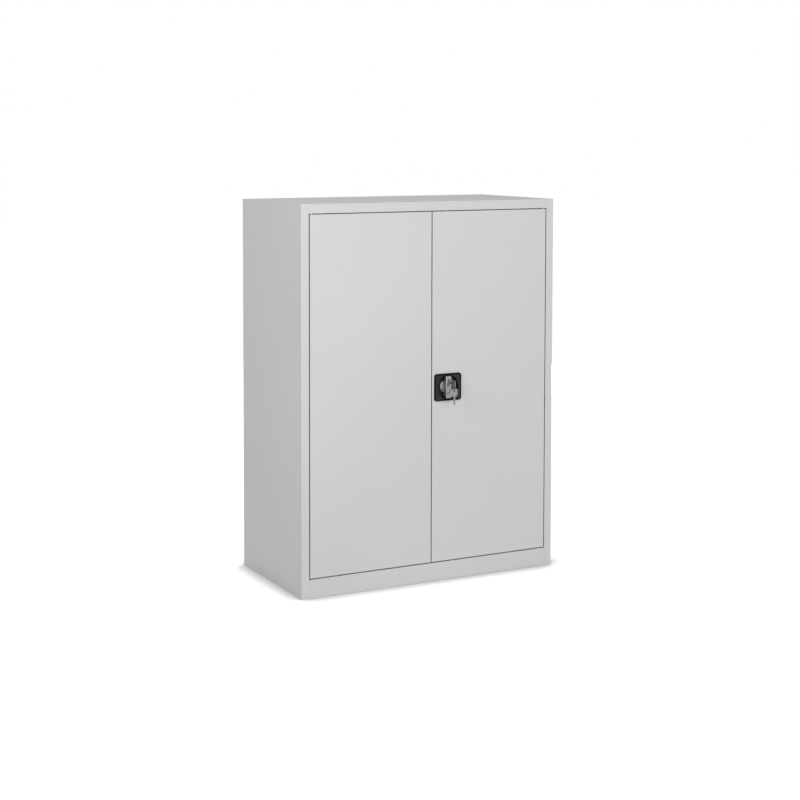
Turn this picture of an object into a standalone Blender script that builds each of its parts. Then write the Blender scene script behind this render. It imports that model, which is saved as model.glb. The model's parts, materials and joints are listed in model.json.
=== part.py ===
"""Two-door steel cupboard: a folded sheet carcass with inset doors, shelves and a three-point turning lock.

Metres, +Z up, the front faces -Y, and the origin lies on the floor at the middle of the bounding box.
"""

import math

import bpy
import bmesh
from mathutils import Matrix, Vector

# Carcass
WIDTH = 0.900
DEPTH = 0.450
HEIGHT = 1.200
SHEET = 0.001
BEND = 0.0014
BEND_STEPS = 2
FIT = 0.0003
OVERRUN = 0.002
WELD = 0.00001
STILE_WIDTH = 0.0263
RAIL_HEIGHT = 0.0292
PLINTH_HEIGHT = 0.0587
JAMB_DEPTH = 0.023
STOP_LIP = 0.012
REAR_RETURN = 0.015
FOOT_FLANGE = 0.018
REAR_RAIL_GAP = 0.006
FLOOR_FLANGE = 0.025

# Shelf uprights, shelves and their clips
UPRIGHT_WIDTH = 0.025
UPRIGHT_DEPTH = 0.012
FRONT_UPRIGHT_SETBACK = 0.075
REAR_UPRIGHT_INSET = 0.035
SLOT_PITCH = 0.030
SLOT_WIDTH = 0.014
SLOT_HEIGHT = 0.004
FIRST_SLOT = 0.040
SHELF_SLOTS = (11, 23)
SHELF_SETBACK = 0.050
SHELF_REAR_GAP = 0.004
SHELF_SIDE_GAP = 0.0015
SHELF_FLANGE = 0.028
SHELF_LIP = 0.012
CLIP_WIDTH = 0.011
CLIP_SHEET = 0.0016
CLIP_TAB = 0.014
CLIP_BRACE = 0.012
CLIP_HOOK = 0.006

# Doors and their pivots
DOOR_GAP = 0.0026
DOOR_THICKNESS = 0.020
DOOR_LIP = 0.014
PIVOT_INSET = 0.0068
PIVOT_SETBACK = 0.0064
PIN_RADIUS = 0.0025
PIN_IN_DOOR = 0.020
PIN_IN_BUSH = 0.009
BUSH_WALL = 0.0008
BUSH_FLANGE_WIDTH = 0.0018
BUSH_FLANGE_THICKNESS = 0.0008
BUSH_LENGTH = 0.008
BRACKET_SIDE = 0.016
BRACKET_HEIGHT = 0.018
STIFFENER_CROWN = 0.040
STIFFENER_BASE = 0.012
STIFFENER_DEPTH = 0.015
STIFFENER_END_GAP = 0.012
STIFFENER_SHARE = 0.5
BUFFER_RADIUS = 0.005
BUFFER_OFFSET = 0.027

# Lock plate and case on the right door
LOCK_OFFSET = 0.0555
PLATE_WIDTH = 0.0965
PLATE_HEIGHT = 0.0855
PLATE_CORNER = 0.008
PLATE_THICKNESS = 0.0022
PLATE_RIM_WIDTH = 0.0030
PLATE_RIM_RISE = 0.0010
DISH_RADIUS = 0.0385
DISH_FLOOR_RADIUS = 0.0345
DISH_DEPTH = 0.016
DISH_WALL = 0.0015
DISH_STEPS = 40
CASE_WIDTH = 0.076
CASE_HEIGHT = 0.086
CASE_DEPTH = 0.0115
CASE_SHEET = 0.0012
SCREW_RADIUS = 0.002
SCREW_HEAD_RADIUS = 0.0036
SCREW_HEAD_HEIGHT = 0.002
SCREW_INSET = 0.007

# Turning knob, cylinder and keys
KNOB_DISC_RADIUS = 0.020
KNOB_DISC_THICKNESS = 0.005
GRIP_PROUD = 0.009
GRIP_LENGTH = 0.071
GRIP_FOOT_LENGTH = 0.038
GRIP_WIDTH = 0.0188
GRIP_EDGE = 0.0016
CYLINDER_RISE = 0.0145
CYLINDER_RADIUS = 0.0060
CYLINDER_FLANGE_RADIUS = 0.0074
CYLINDER_FLANGE_THICKNESS = 0.0010
CYLINDER_LENGTH = 0.016
PLUG_RADIUS = 0.0045
PLUG_PROUD = 0.0005
KEYWAY_DEPTH = 0.0155
KEY_THICKNESS = 0.002
KEY_BLADE_WIDTH = 0.006
KEY_BLADE_LENGTH = 0.029
KEY_IN_CYLINDER = 0.014
KEY_NOTCHES = 4
KEY_NOTCH_DEPTH = 0.0014
BOW_LENGTH = 0.024
BOW_WIDTH = 0.022
BOW_CORNER = 0.005
KEY_HOLE_RADIUS = 0.003
KEY_HOLE_INSET = 0.006
RING_RADIUS = 0.009
RING_WIRE = 0.0008
RING_SLACK = 0.0008
RING_TURN = math.radians(45)

# Lock works behind the plate
SPINDLE_SIDE = 0.006
SPINDLE_SEAT = 0.006
SPINDLE_EYE_RADIUS = 0.008
STUD_RADIUS = 0.0025
DISC_RADIUS = 0.018
DISC_THICKNESS = 0.0035
DRIVE_PIN_RADIUS = 0.0025
DRIVE_THROW = 0.018
DRIVE_SLACK = 0.0007
STRAP_THICKNESS = 0.002
STRAP_WALL = 0.003
STRAP_WAIST = 0.0065
STRAP_SHOULDER = 0.014
STRAP_NECK = 0.010
STRAP_HEAD_GAP = 0.004
ROD_RADIUS = 0.004
ROD_SETBACK = 0.012
ROD_TIP = 0.0016
ROD_BLOCK = 0.010
BLOCK_SHARE = 0.8
PIN_TAIL = 0.0015
GUIDE_SHEET = 0.0015
GUIDE_WIDTH = 0.024
GUIDE_DEPTH = 0.017
GUIDE_FOOT = 0.014
GUIDE_SHARE = 0.6
STRIKE_HOLE_CLEARANCE = 0.001
ARM_LENGTH = 0.070
ARM_WIDTH = 0.018
ARM_THICKNESS = 0.0025
NUT_RADIUS = 0.0065
NUT_THICKNESS = 0.003
STRIKE_HEIGHT = 0.060
STRIKE_SHEET = 0.002

# Places worked out from the sizes above
KEY_REACH = GRIP_PROUD + CYLINDER_FLANGE_THICKNESS + KEY_BLADE_LENGTH - KEY_IN_CYLINDER + BOW_LENGTH
KEY_HOLE_REACH = KEY_REACH - KEY_HOLE_INSET
RING_REACH = KEY_HOLE_REACH + RING_RADIUS * math.cos(RING_TURN) + RING_WIRE
REACH = max(KEY_REACH, RING_REACH)
FRONT_Y = (REACH - DEPTH) / 2
BACK_Y = FRONT_Y + DEPTH
HALF_WIDTH = WIDTH / 2
SIDE_INNER_X = HALF_WIDTH - SHEET - FIT
JAMB_X = HALF_WIDTH - STILE_WIDTH
JAMB_Y = FRONT_Y + JAMB_DEPTH
RAIL_Z = HEIGHT - RAIL_HEIGHT
FLOOR_Z = PLINTH_HEIGHT + STOP_LIP
BACK_PANEL_REAR_Y = BACK_Y - SHEET - FIT
BACK_PANEL_FRONT_Y = BACK_PANEL_REAR_Y - SHEET
UPRIGHT_FACE_X = SIDE_INNER_X - UPRIGHT_DEPTH
FRONT_UPRIGHT_Y = FRONT_Y + FRONT_UPRIGHT_SETBACK
REAR_UPRIGHT_Y = BACK_PANEL_FRONT_Y - REAR_UPRIGHT_INSET
DOOR_EDGE_X = JAMB_X - DOOR_GAP
DOOR_FREE_X = DOOR_GAP / 2
DOOR_LOW_Z = PLINTH_HEIGHT + DOOR_GAP
DOOR_HIGH_Z = RAIL_Z - DOOR_GAP
DOOR_BACK_Y = FRONT_Y + DOOR_THICKNESS
PIVOT_X = DOOR_EDGE_X - PIVOT_INSET
PIVOT_Y = FRONT_Y + PIVOT_SETBACK
LOCK_X = DOOR_FREE_X + LOCK_OFFSET
LOCK_Z = (DOOR_LOW_Z + DOOR_HIGH_Z) / 2
DISH_FLOOR_Y = FRONT_Y + DISH_DEPTH
DISH_BACK_Y = DISH_FLOOR_Y + DISH_WALL
BOSS_RADIUS = DISH_RADIUS + DISH_WALL
DISC_Y = DISH_BACK_Y + 2 * FIT
STRAP_Y = DISC_Y + DISC_THICKNESS + 2 * FIT
CASE_Y = DISH_BACK_Y + FIT
CASE_BACK_Y = CASE_Y + CASE_DEPTH
ARM_Y = CASE_BACK_Y + SCREW_HEAD_HEIGHT + 3 * FIT
ARM_BACK_Y = ARM_Y + ARM_THICKNESS
ROD_Y = FRONT_Y + ROD_SETBACK
DRIVE_RADIUS = DRIVE_THROW / (2 * math.sin(math.pi / 4))
STRAP_SLOT_X = DRIVE_RADIUS + DRIVE_PIN_RADIUS + DRIVE_SLACK
STRAP_OUTER_X = STRAP_SLOT_X + STRAP_WALL
STRAP_BACK_Y = STRAP_Y + STRAP_THICKNESS
KNOB_BACK_Y = DISH_FLOOR_Y - FIT
CYLINDER_Z = LOCK_Z + CYLINDER_RISE
CYLINDER_FACE_Y = FRONT_Y - GRIP_PROUD - CYLINDER_FLANGE_THICKNESS
BUSH_RADIUS = PIN_RADIUS + FIT + BUSH_WALL
RING_TOP_Z = CYLINDER_Z - KEY_HOLE_RADIUS + RING_WIRE + RING_SLACK
RING_Z = RING_TOP_Z - RING_RADIUS
RING_LOW_Z = RING_Z - RING_RADIUS
SPARE_HOLE_Z = RING_LOW_Z + RING_WIRE + RING_SLACK - KEY_HOLE_RADIUS
KEY_HOLE_Y = FRONT_Y - KEY_HOLE_REACH

# Turns that lay an outline drawn in a plane, and extruded square to it, into place
IN_PLAN = Matrix.Identity(3)
IN_SIDE_VIEW = Matrix(((0, 0, 1), (1, 0, 0), (0, 1, 0)))
IN_FRONT_VIEW = Matrix(((1, 0, 0), (0, 0, -1), (0, 1, 0)))
FACING_FRONT = IN_FRONT_VIEW
ALONG_RING = Matrix(
    (
        (math.sin(RING_TURN), 0, math.cos(RING_TURN)),
        (math.cos(RING_TURN), 0, -math.sin(RING_TURN)),
        (0, 1, 0),
    )
)
FACING_BACK = Matrix(((1, 0, 0), (0, 0, 1), (0, -1, 0)))
UPSIDE_DOWN = Matrix(((1, 0, 0), (0, -1, 0), (0, 0, -1)))
QUARTER_TURN = math.radians(90)
SMOOTH_ANGLE = math.radians(35)
ROUND_STEPS = 16
ARC_STEPS = 4


def clear_scene():
    for old in list(bpy.data.objects):
        bpy.data.objects.remove(old)


def add_collection(name):
    group = bpy.data.collections.new(name)
    bpy.context.scene.collection.children.link(group)
    return group


def paint(name, colour, roughness, metallic):
    """A plain surface with the colour, roughness and metallic value of the real one."""
    finish = bpy.data.materials.new(name)
    finish.use_nodes = True
    shader = finish.node_tree.nodes["Principled BSDF"]
    shader.inputs["Base Color"].default_value = (*colour, 1)
    shader.inputs["Roughness"].default_value = roughness
    shader.inputs["Metallic"].default_value = metallic
    return finish


def own_finish(obj, finish):
    """Gives an object a copy of a finish, so that each piece can be recoloured by itself."""
    copy = finish.copy()
    copy.name = obj.name + "_finish"
    obj.data.materials.clear()
    obj.data.materials.append(copy)


def world_place(obj):
    """Where an unturned empty stands in the world, from its own place and its parents'."""
    place = obj.location.copy()
    if obj.parent:
        place += world_place(obj.parent)
    return place


def hang(obj, axis):
    """Hangs an object, placed in the world, on the empty that it turns or slides with."""
    if axis:
        obj.location = obj.location - world_place(axis)
        obj.parent = axis
    return obj


def add_axis(name, place, carrier=None):
    axis = bpy.data.objects.new(name, None)
    axis.location = place
    parts.objects.link(axis)
    return hang(axis, carrier)


def show(obj, finish, axis=None):
    """Files an object under the parts, with a finish of its own."""
    parts.objects.link(obj)
    own_finish(obj, finish)
    return hang(obj, axis)


def hide(obj, axis=None):
    """Files an object under the cutters and guides, which shape the parts and aren't parts themselves."""
    cutters.objects.link(obj)
    obj.hide_render = True
    obj.display_type = "WIRE"
    return hang(obj, axis)


def from_bmesh(name, shape, place=(0, 0, 0), turn=None):
    mesh = bpy.data.meshes.new(name)
    bmesh.ops.recalc_face_normals(shape, faces=shape.faces)
    shape.to_mesh(mesh)
    shape.free()
    obj = bpy.data.objects.new(name, mesh)
    obj.location = place
    if turn:
        obj.rotation_euler = turn.to_euler()
    return obj


def box(name, low, high):
    """A block between two corners, with its origin at its middle."""
    low = Vector(low)
    high = Vector(high)
    shape = bmesh.new()
    bmesh.ops.create_cube(shape, size=1)
    bmesh.ops.scale(shape, vec=high - low, verts=shape.verts)
    return from_bmesh(name, shape, (low + high) / 2)


def boxes(name, corners):
    """Several blocks in one object, each between its two corners."""
    shape = bmesh.new()
    for low, high in corners:
        low = Vector(low)
        high = Vector(high)
        made = bmesh.ops.create_cube(shape, size=1)["verts"]
        bmesh.ops.scale(shape, vec=high - low, verts=made)
        bmesh.ops.translate(shape, vec=(low + high) / 2, verts=made)
    return from_bmesh(name, shape)


def rod(name, radius, start, end, steps=ROUND_STEPS):
    """A round bar between two points on a line along X, Y or Z."""
    start = Vector(start)
    end = Vector(end)
    shape = bmesh.new()
    bmesh.ops.create_cone(
        shape, cap_ends=True, segments=steps, radius1=radius, radius2=radius, depth=(end - start).length
    )
    obj = from_bmesh(name, shape, (start + end) / 2, (end - start).to_track_quat("Z", "Y").to_matrix())
    smooth(obj)
    return obj


def rods(name, radius, lines, steps=ROUND_STEPS):
    """Several round bars in one object, all along one direction."""
    shape = bmesh.new()
    for start, end in lines:
        start = Vector(start)
        end = Vector(end)
        made = bmesh.ops.create_cone(
            shape, cap_ends=True, segments=steps, radius1=radius, radius2=radius, depth=(end - start).length
        )["verts"]
        bmesh.ops.rotate(shape, matrix=(end - start).to_track_quat("Z", "Y").to_matrix(), verts=made)
        bmesh.ops.translate(shape, vec=(start + end) / 2, verts=made)
    obj = from_bmesh(name, shape)
    smooth(obj)
    return obj


def smooth(obj):
    obj.data.shade_smooth()
    obj.data.set_sharp_from_angle(angle=SMOOTH_ANGLE)


def settled(guide):
    """The plain mesh of a curve or of a profile with its modifiers, whose own object is then dropped."""
    bpy.context.scene.collection.objects.link(guide)
    evaluated = guide.evaluated_get(bpy.context.evaluated_depsgraph_get())
    flat = bpy.data.meshes.new_from_object(evaluated)
    bpy.data.objects.remove(guide)
    shape = bmesh.new()
    shape.from_mesh(flat)
    bpy.data.meshes.remove(flat)
    bmesh.ops.remove_doubles(shape, verts=shape.verts, dist=WELD)
    return shape


def extruded(name, outlines, length, place, turn):
    """A flat outline, with any holes in it, extruded by a length about its own plane."""
    curve = bpy.data.curves.new(name, "CURVE")
    curve.dimensions = "2D"
    curve.fill_mode = "BOTH"
    curve.extrude = length / 2
    for outline in outlines:
        spline = curve.splines.new("POLY")
        spline.points.add(len(outline) - 1)
        for point, (across, up) in zip(spline.points, outline):
            point.co = (across, up, 0, 1)
        spline.use_cyclic_u = True
    guide = bpy.data.objects.new(name + "_outline", curve)
    return from_bmesh(name, settled(guide), place, turn)


def turned(name, profile, place, turn=None, steps=ROUND_STEPS):
    """A profile of radius and height, run top to bottom down its outer side, screwed into a round piece."""
    mesh = bpy.data.meshes.new(name + "_profile")
    points = [(radius, 0, height) for radius, height in profile]
    count = len(points)
    closed = all(radius > 0 for radius, height in profile)
    edges = [(i, (i + 1) % count) for i in range(count if closed else count - 1)]
    mesh.from_pydata(points, edges, [])
    guide = bpy.data.objects.new(name + "_profile", mesh)
    screw = guide.modifiers.new("turn", "SCREW")
    screw.steps = steps
    screw.render_steps = steps
    screw.use_merge_vertices = True
    screw.merge_threshold = WELD
    obj = from_bmesh(name, settled(guide), place, turn)
    smooth(obj)
    return obj


def cut(obj, cutter, axis=None):
    """Takes a cutter out of an object."""
    hide(cutter, axis)
    change = obj.modifiers.new("cut " + cutter.name, "BOOLEAN")
    change.operation = "DIFFERENCE"
    change.solver = "EXACT"
    change.object = cutter


def join(obj, other, axis=None):
    """Joins another shape to an object."""
    hide(other, axis)
    change = obj.modifiers.new("join " + other.name, "BOOLEAN")
    change.operation = "UNION"
    change.solver = "EXACT"
    change.object = other


def round_edges(obj, radius, steps=BEND_STEPS):
    """Rounds an object's sharp edges."""
    change = obj.modifiers.new("rounded edges", "BEVEL")
    change.width = radius
    change.segments = steps
    change.limit_method = "ANGLE"
    change.angle_limit = SMOOTH_ANGLE


def unit(x, y):
    """A direction in a plane, made one long."""
    length = math.hypot(x, y)
    return x / length, y / length


def folded_outline(line, thickness, bend=BEND, steps=BEND_STEPS):
    """The outline of a folded sheet. The line is one face of it, and the sheet lies to the right of it."""
    near = []
    far = []
    for i, (x, y) in enumerate(line):
        if i in (0, len(line) - 1):
            other = line[1] if i == 0 else line[i - 1]
            along = unit(other[0] - x, other[1] - y) if i == 0 else unit(x - other[0], y - other[1])
            near.append((x, y))
            far.append((x + along[1] * thickness, y - along[0] * thickness))
            continue
        before = unit(x - line[i - 1][0], y - line[i - 1][1])
        after = unit(line[i + 1][0] - x, line[i + 1][1] - y)
        left = before[0] * after[1] - before[1] * after[0] > 0
        near_radius = bend - thickness if left else bend
        far_radius = bend if left else bend - thickness
        side = -1 if left else 1
        turn = math.acos(max(-1, min(1, before[0] * after[0] + before[1] * after[1])))
        setback = near_radius * math.tan(turn / 2)
        centre_x = x - before[0] * setback + side * before[1] * near_radius
        centre_y = y - before[1] * setback - side * before[0] * near_radius
        start = math.atan2(side * before[0], -side * before[1])
        for step in range(steps + 1):
            angle = start - side * turn * step / steps
            ray = (math.cos(angle), math.sin(angle))
            near.append((centre_x + ray[0] * near_radius, centre_y + ray[1] * near_radius))
            far.append((centre_x + ray[0] * far_radius, centre_y + ray[1] * far_radius))
    return near + far[::-1]


def folded(name, line, start, end, turn, bend=BEND):
    """A folded strip: its section lies in the plane that the turn gives, and it runs from start to end."""
    place = turn @ Vector((0, 0, (start + end) / 2))
    return extruded(name, [folded_outline(line, SHEET, bend)], end - start, place, turn)


def pan(name, low, high, open_side, lip=0):
    """A sheet pan between two corners: a face, four flanges and any lips that the flanges turn in to."""
    low = Vector(low)
    high = Vector(high)
    shape = bmesh.new()
    bmesh.ops.create_cube(shape, size=1)
    bmesh.ops.scale(shape, vec=high - low, verts=shape.verts)
    bmesh.ops.recalc_face_normals(shape, faces=shape.faces)
    back = max(shape.faces, key=lambda face: face.normal.dot(Vector(open_side)))
    if lip:
        bmesh.ops.inset_region(shape, faces=[back], thickness=lip)
    bmesh.ops.delete(shape, geom=[back], context="FACES")
    obj = from_bmesh(name, shape, (low + high) / 2)
    round_edges(obj, BEND)
    sheet = obj.modifiers.new("sheet", "SOLIDIFY")
    sheet.thickness = SHEET
    sheet.offset = -1
    sheet.use_even_offset = True
    return obj


def rounded_rectangle(width, height, corner, steps=ARC_STEPS):
    """A rectangle about the origin with round corners."""
    outline = []
    for quarter, (side, rise) in enumerate(((1, 1), (-1, 1), (-1, -1), (1, -1))):
        for step in range(steps + 1):
            angle = QUARTER_TURN * (quarter + step / steps)
            x = side * (width / 2 - corner) + corner * math.cos(angle)
            y = rise * (height / 2 - corner) + corner * math.sin(angle)
            outline.append((x, y))
    return outline


def ring_of_points(radius, centre=(0, 0), steps=ROUND_STEPS):
    """A round outline."""
    angles = [2 * math.pi * step / steps for step in range(steps)]
    return [(centre[0] + radius * math.cos(a), centre[1] + radius * math.sin(a)) for a in angles]


def mirrored(line, side):
    """A plan outline for the right (1) side, or its mirror image for the left (-1)."""
    return [(side * x, y) for x, y in line]


def side_panel(name, side):
    """A side sheet, folded round to the front stile with its door jamb, and to a return at the back."""
    line = [
        (-JAMB_X, JAMB_Y - FIT),
        (-JAMB_X, FRONT_Y),
        (-HALF_WIDTH, FRONT_Y),
        (-HALF_WIDTH, BACK_Y),
        (REAR_RETURN - HALF_WIDTH, BACK_Y),
    ]
    outline = mirrored(folded_outline(line, SHEET), -side)
    panel = extruded(name, [outline], HEIGHT, (0, 0, HEIGHT / 2), IN_PLAN)
    inner = JAMB_X - OVERRUN
    outer = JAMB_X + BEND
    for end, low, high in (
        ("foot", -OVERRUN, PLINTH_HEIGHT + FIT),
        ("head", RAIL_Z - FIT, HEIGHT + OVERRUN),
    ):
        xs = sorted((side * inner, side * outer))
        notch = box(
            name + "_" + end + "_notch", (xs[0], FRONT_Y - OVERRUN, low), (xs[1], JAMB_Y + OVERRUN, high)
        )
        cut(panel, notch)
    return show(panel, grey_paint)


def top_panel():
    """The top sheet, a pan whose front flange is the top rail."""
    rear = BACK_PANEL_FRONT_Y - FIT
    low = (-SIDE_INNER_X, FRONT_Y, RAIL_Z)
    panel = pan("top_panel", low, (SIDE_INNER_X, rear, HEIGHT), (0, 0, -1))
    rail_end = JAMB_X + BEND - FIT
    corners = []
    for side in (-1, 1):
        xs = sorted((side * rail_end, side * (HALF_WIDTH + OVERRUN)))
        notch_low = (xs[0], FRONT_Y - OVERRUN, RAIL_Z - OVERRUN)
        notch_high = (xs[1], FRONT_Y + SHEET + FIT, HEIGHT + OVERRUN)
        corners.append((notch_low, notch_high))
    cut(panel, boxes("top_corner_notches", corners))
    return show(panel, grey_paint)


def head_rail():
    """The strip behind the top rail: the head of the door opening, and the stop lip behind the doors."""
    front = FRONT_Y + SHEET + FIT
    line = [
        (JAMB_Y, RAIL_Z - STOP_LIP),
        (JAMB_Y, RAIL_Z),
        (front, RAIL_Z),
        (front, HEIGHT - SHEET - FIT),
    ]
    rail = folded("head_rail", line, FIT - JAMB_X, JAMB_X - FIT, IN_SIDE_VIEW)
    upright_holes(rail, "head_rail", RAIL_Z)
    return show(rail, grey_paint)


def plinth():
    """The kick plate, folded back to a foot below and to the sill and the stop lip above."""
    line = [
        (FRONT_Y + FOOT_FLANGE, 0),
        (FRONT_Y, 0),
        (FRONT_Y, PLINTH_HEIGHT),
        (JAMB_Y, PLINTH_HEIGHT),
        (JAMB_Y, FLOOR_Z),
    ]
    end = JAMB_X + BEND - FIT
    sheet = folded("plinth", line, -end, end, IN_SIDE_VIEW)
    upright_holes(sheet, "plinth", PLINTH_HEIGHT)
    return show(sheet, grey_paint)


def upright_holes(rail, name, z):
    """Holes through a rail for the two pivot bushes and for the lock rod."""
    low = z - OVERRUN
    high = z + OVERRUN
    lines = [((side * PIVOT_X, PIVOT_Y, low), (side * PIVOT_X, PIVOT_Y, high)) for side in (-1, 1)]
    cut(rail, rods(name + "_bush_holes", BUSH_RADIUS + FIT, lines))
    start = (LOCK_X, ROD_Y, low)
    end = (LOCK_X, ROD_Y, high)
    cut(rail, rod(name + "_rod_hole", ROD_RADIUS + STRIKE_HOLE_CLEARANCE, start, end))


def back_panel():
    return show(
        box(
            "back_panel",
            (-SIDE_INNER_X, BACK_PANEL_FRONT_Y, 0),
            (SIDE_INNER_X, BACK_PANEL_REAR_Y, HEIGHT),
        ),
        grey_paint,
    )


def rear_base_rail():
    """An angle along the foot of the back panel, up to a little below the floor's flange."""
    rear = BACK_PANEL_FRONT_Y - FIT
    head = FLOOR_Z - FLOOR_FLANGE - REAR_RAIL_GAP
    line = [(rear, head), (rear, 0), (rear - FOOT_FLANGE, 0)]
    rail = folded("rear_base_rail", line, -SIDE_INNER_X, SIDE_INNER_X, IN_SIDE_VIEW)
    return show(rail, grey_paint)


def floor_panel():
    """The bottom of the cupboard, a pan turned down inside the stop lip."""
    low = (-SIDE_INNER_X, JAMB_Y + SHEET + FIT, FLOOR_Z - FLOOR_FLANGE)
    high = (SIDE_INNER_X, BACK_PANEL_FRONT_Y - FIT, FLOOR_Z)
    return show(pan("floor_panel", low, high, (0, 0, -1)), grey_paint)


def slot_height(number):
    """The middle of a slot, counted from the lowest."""
    return FLOOR_Z + FIRST_SLOT + number * SLOT_PITCH


def shelf_upright(name, side, y):
    """A slotted channel on a side panel, which carries the shelves."""
    half = UPRIGHT_WIDTH / 2
    line = [
        (-SIDE_INNER_X, y + half),
        (-UPRIGHT_FACE_X, y + half),
        (-UPRIGHT_FACE_X, y - half),
        (-SIDE_INNER_X, y - half),
    ]
    low = FLOOR_Z + FIT
    high = RAIL_Z - FIT
    outline = mirrored(folded_outline(line, SHEET), -side)
    upright = extruded(name, [outline], high - low, (0, 0, (low + high) / 2), IN_PLAN)
    count = int((high - FIRST_SLOT - slot_height(0)) / SLOT_PITCH) + 1
    slots = []
    for number in range(count):
        z = slot_height(number)
        xs = sorted((side * (UPRIGHT_FACE_X - OVERRUN), side * (UPRIGHT_FACE_X + SHEET + OVERRUN)))
        low_corner = (xs[0], y - SLOT_WIDTH / 2, z - SLOT_HEIGHT / 2)
        high_corner = (xs[1], y + SLOT_WIDTH / 2, z + SLOT_HEIGHT / 2)
        slots.append((low_corner, high_corner))
    cut(upright, boxes(name + "_slots", slots))
    return show(upright, zinc)


def shelf_rest(number):
    """The height of the top of the clips in one row of slots."""
    return slot_height(number) + CLIP_SHEET / 2


def shelf(name, number):
    """A shelf: a pan turned down all round, with lips turned in below."""
    low_z = shelf_rest(number) + FIT
    half = UPRIGHT_FACE_X - SHELF_SIDE_GAP
    low = (-half, FRONT_Y + SHELF_SETBACK, low_z)
    high = (half, BACK_PANEL_FRONT_Y - SHELF_REAR_GAP, low_z + SHELF_FLANGE)
    return show(pan(name, low, high, (0, 0, -1), SHELF_LIP), grey_paint)


def shelf_clip(name, side, y, number):
    """A clip hooked through a slot: a tab under the shelf, braced against the upright's face."""
    inside = -(SHEET + FIT)
    outline = [
        (CLIP_TAB, 0),
        (CLIP_TAB, -CLIP_SHEET),
        (FIT + CLIP_SHEET, -CLIP_BRACE),
        (FIT, -CLIP_BRACE),
        (FIT, -CLIP_SHEET),
        (inside, -CLIP_SHEET),
        (inside, -CLIP_HOOK),
        (inside - CLIP_SHEET, -CLIP_HOOK),
        (inside - CLIP_SHEET, 0),
    ]
    place = (side * UPRIGHT_FACE_X, y, shelf_rest(number))
    clip = extruded(name, [mirrored(outline, -side)], CLIP_WIDTH, place, IN_FRONT_VIEW)
    return show(clip, zinc)


def pivot_bush(name, side, z, upright):
    """A plastic bush in the sill or the head rail, in which a door's pin turns."""
    bore = PIN_RADIUS + FIT
    flange = BUSH_RADIUS + BUSH_FLANGE_WIDTH
    profile = [
        (bore, BUSH_FLANGE_THICKNESS),
        (flange, BUSH_FLANGE_THICKNESS),
        (flange, 0),
        (BUSH_RADIUS, 0),
        (BUSH_RADIUS, -BUSH_LENGTH),
        (bore, -BUSH_LENGTH),
    ]
    return show(turned(name, profile, (side * PIVOT_X, PIVOT_Y, z), upright), black_plastic)


def door_buffer(name, side, z):
    """A rubber pad on a stop lip, which a door closes against."""
    x = side * BUFFER_OFFSET
    return show(rod(name, BUFFER_RADIUS, (x, DOOR_BACK_Y + FIT, z), (x, JAMB_Y - FIT, z)), rubber)


def door_skin(name, side, axis):
    """A door: a sheet pan with its lips turned in at the back, and holes for its pivot pins."""
    xs = sorted((side * DOOR_FREE_X, side * DOOR_EDGE_X))
    low = (xs[0], FRONT_Y, DOOR_LOW_Z)
    high = (xs[1], DOOR_BACK_Y, DOOR_HIGH_Z)
    skin = pan(name, low, high, (0, 1, 0), DOOR_LIP)
    pins = rods(name + "_pin_holes", PIN_RADIUS + FIT, pin_lines(side, DOOR_GAP))
    cut(skin, pins, axis)
    return show(skin, grey_paint, axis)


def pin_lines(side, stretch=0):
    """The lines of a door's two pivot pins, each from its bush into the door."""
    x = side * PIVOT_X
    low = PLINTH_HEIGHT - PIN_IN_BUSH
    high = RAIL_Z + PIN_IN_BUSH
    return [
        ((x, PIVOT_Y, low), (x, PIVOT_Y, DOOR_LOW_Z + PIN_IN_DOOR + stretch)),
        ((x, PIVOT_Y, DOOR_HIGH_Z - PIN_IN_DOOR - stretch), (x, PIVOT_Y, high)),
    ]


def door_pivots(hand, side, axis):
    """A steel block in each hinge corner of a door, with the pin that turns in the bush."""
    wall = SHEET + FIT
    xs = sorted((side * (DOOR_EDGE_X - wall), side * (DOOR_EDGE_X - BRACKET_SIDE)))
    low_zs = (DOOR_LOW_Z + wall, DOOR_HIGH_Z - wall - BRACKET_HEIGHT)
    for row, z, (start, end) in zip(("lower", "upper"), low_zs, pin_lines(side)):
        name = row + "_" + hand + "_pivot"
        low = (xs[0], FRONT_Y + wall, z)
        high = (xs[1], FRONT_Y + BRACKET_SIDE, z + BRACKET_HEIGHT)
        block = box(name, low, high)
        join(block, rod(name + "_pin", PIN_RADIUS, start, end), axis)
        show(block, zinc, axis)


def stiffener(name, side, axis):
    """A hat section up the inside of a door."""
    x = side * (DOOR_FREE_X + (DOOR_EDGE_X - DOOR_FREE_X) * STIFFENER_SHARE)
    base = FRONT_Y + SHEET + FIT
    crown = base + STIFFENER_DEPTH
    half = STIFFENER_CROWN / 2
    line = [
        (x + half + STIFFENER_BASE, base),
        (x + half, base),
        (x + half, crown),
        (x - half, crown),
        (x - half, base),
        (x - half - STIFFENER_BASE, base),
    ]
    low = DOOR_LOW_Z + STIFFENER_END_GAP
    high = DOOR_HIGH_Z - STIFFENER_END_GAP
    hat = extruded(name, [folded_outline(line, SHEET)], high - low, (0, 0, (low + high) / 2), IN_PLAN)
    return show(hat, grey_paint, axis)


def strike_plate(axis):
    """The channel on the left door's free lip, behind which the latch arm swings."""
    near = -DOOR_FREE_X - SHEET - FIT
    far = near - DOOR_LIP
    seat = DOOR_BACK_Y + FIT
    back = ARM_Y - 2 * FIT
    line = [(near, seat), (far, seat), (far, back), (near, back)]
    outline = folded_outline(line, STRIKE_SHEET, STRIKE_SHEET + BEND - SHEET)
    channel = extruded("strike_plate", [outline], STRIKE_HEIGHT, (0, 0, LOCK_Z), IN_PLAN)
    return show(channel, zinc, axis)


def lock_plate_outline():
    return rounded_rectangle(PLATE_WIDTH, PLATE_HEIGHT, PLATE_CORNER)


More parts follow.
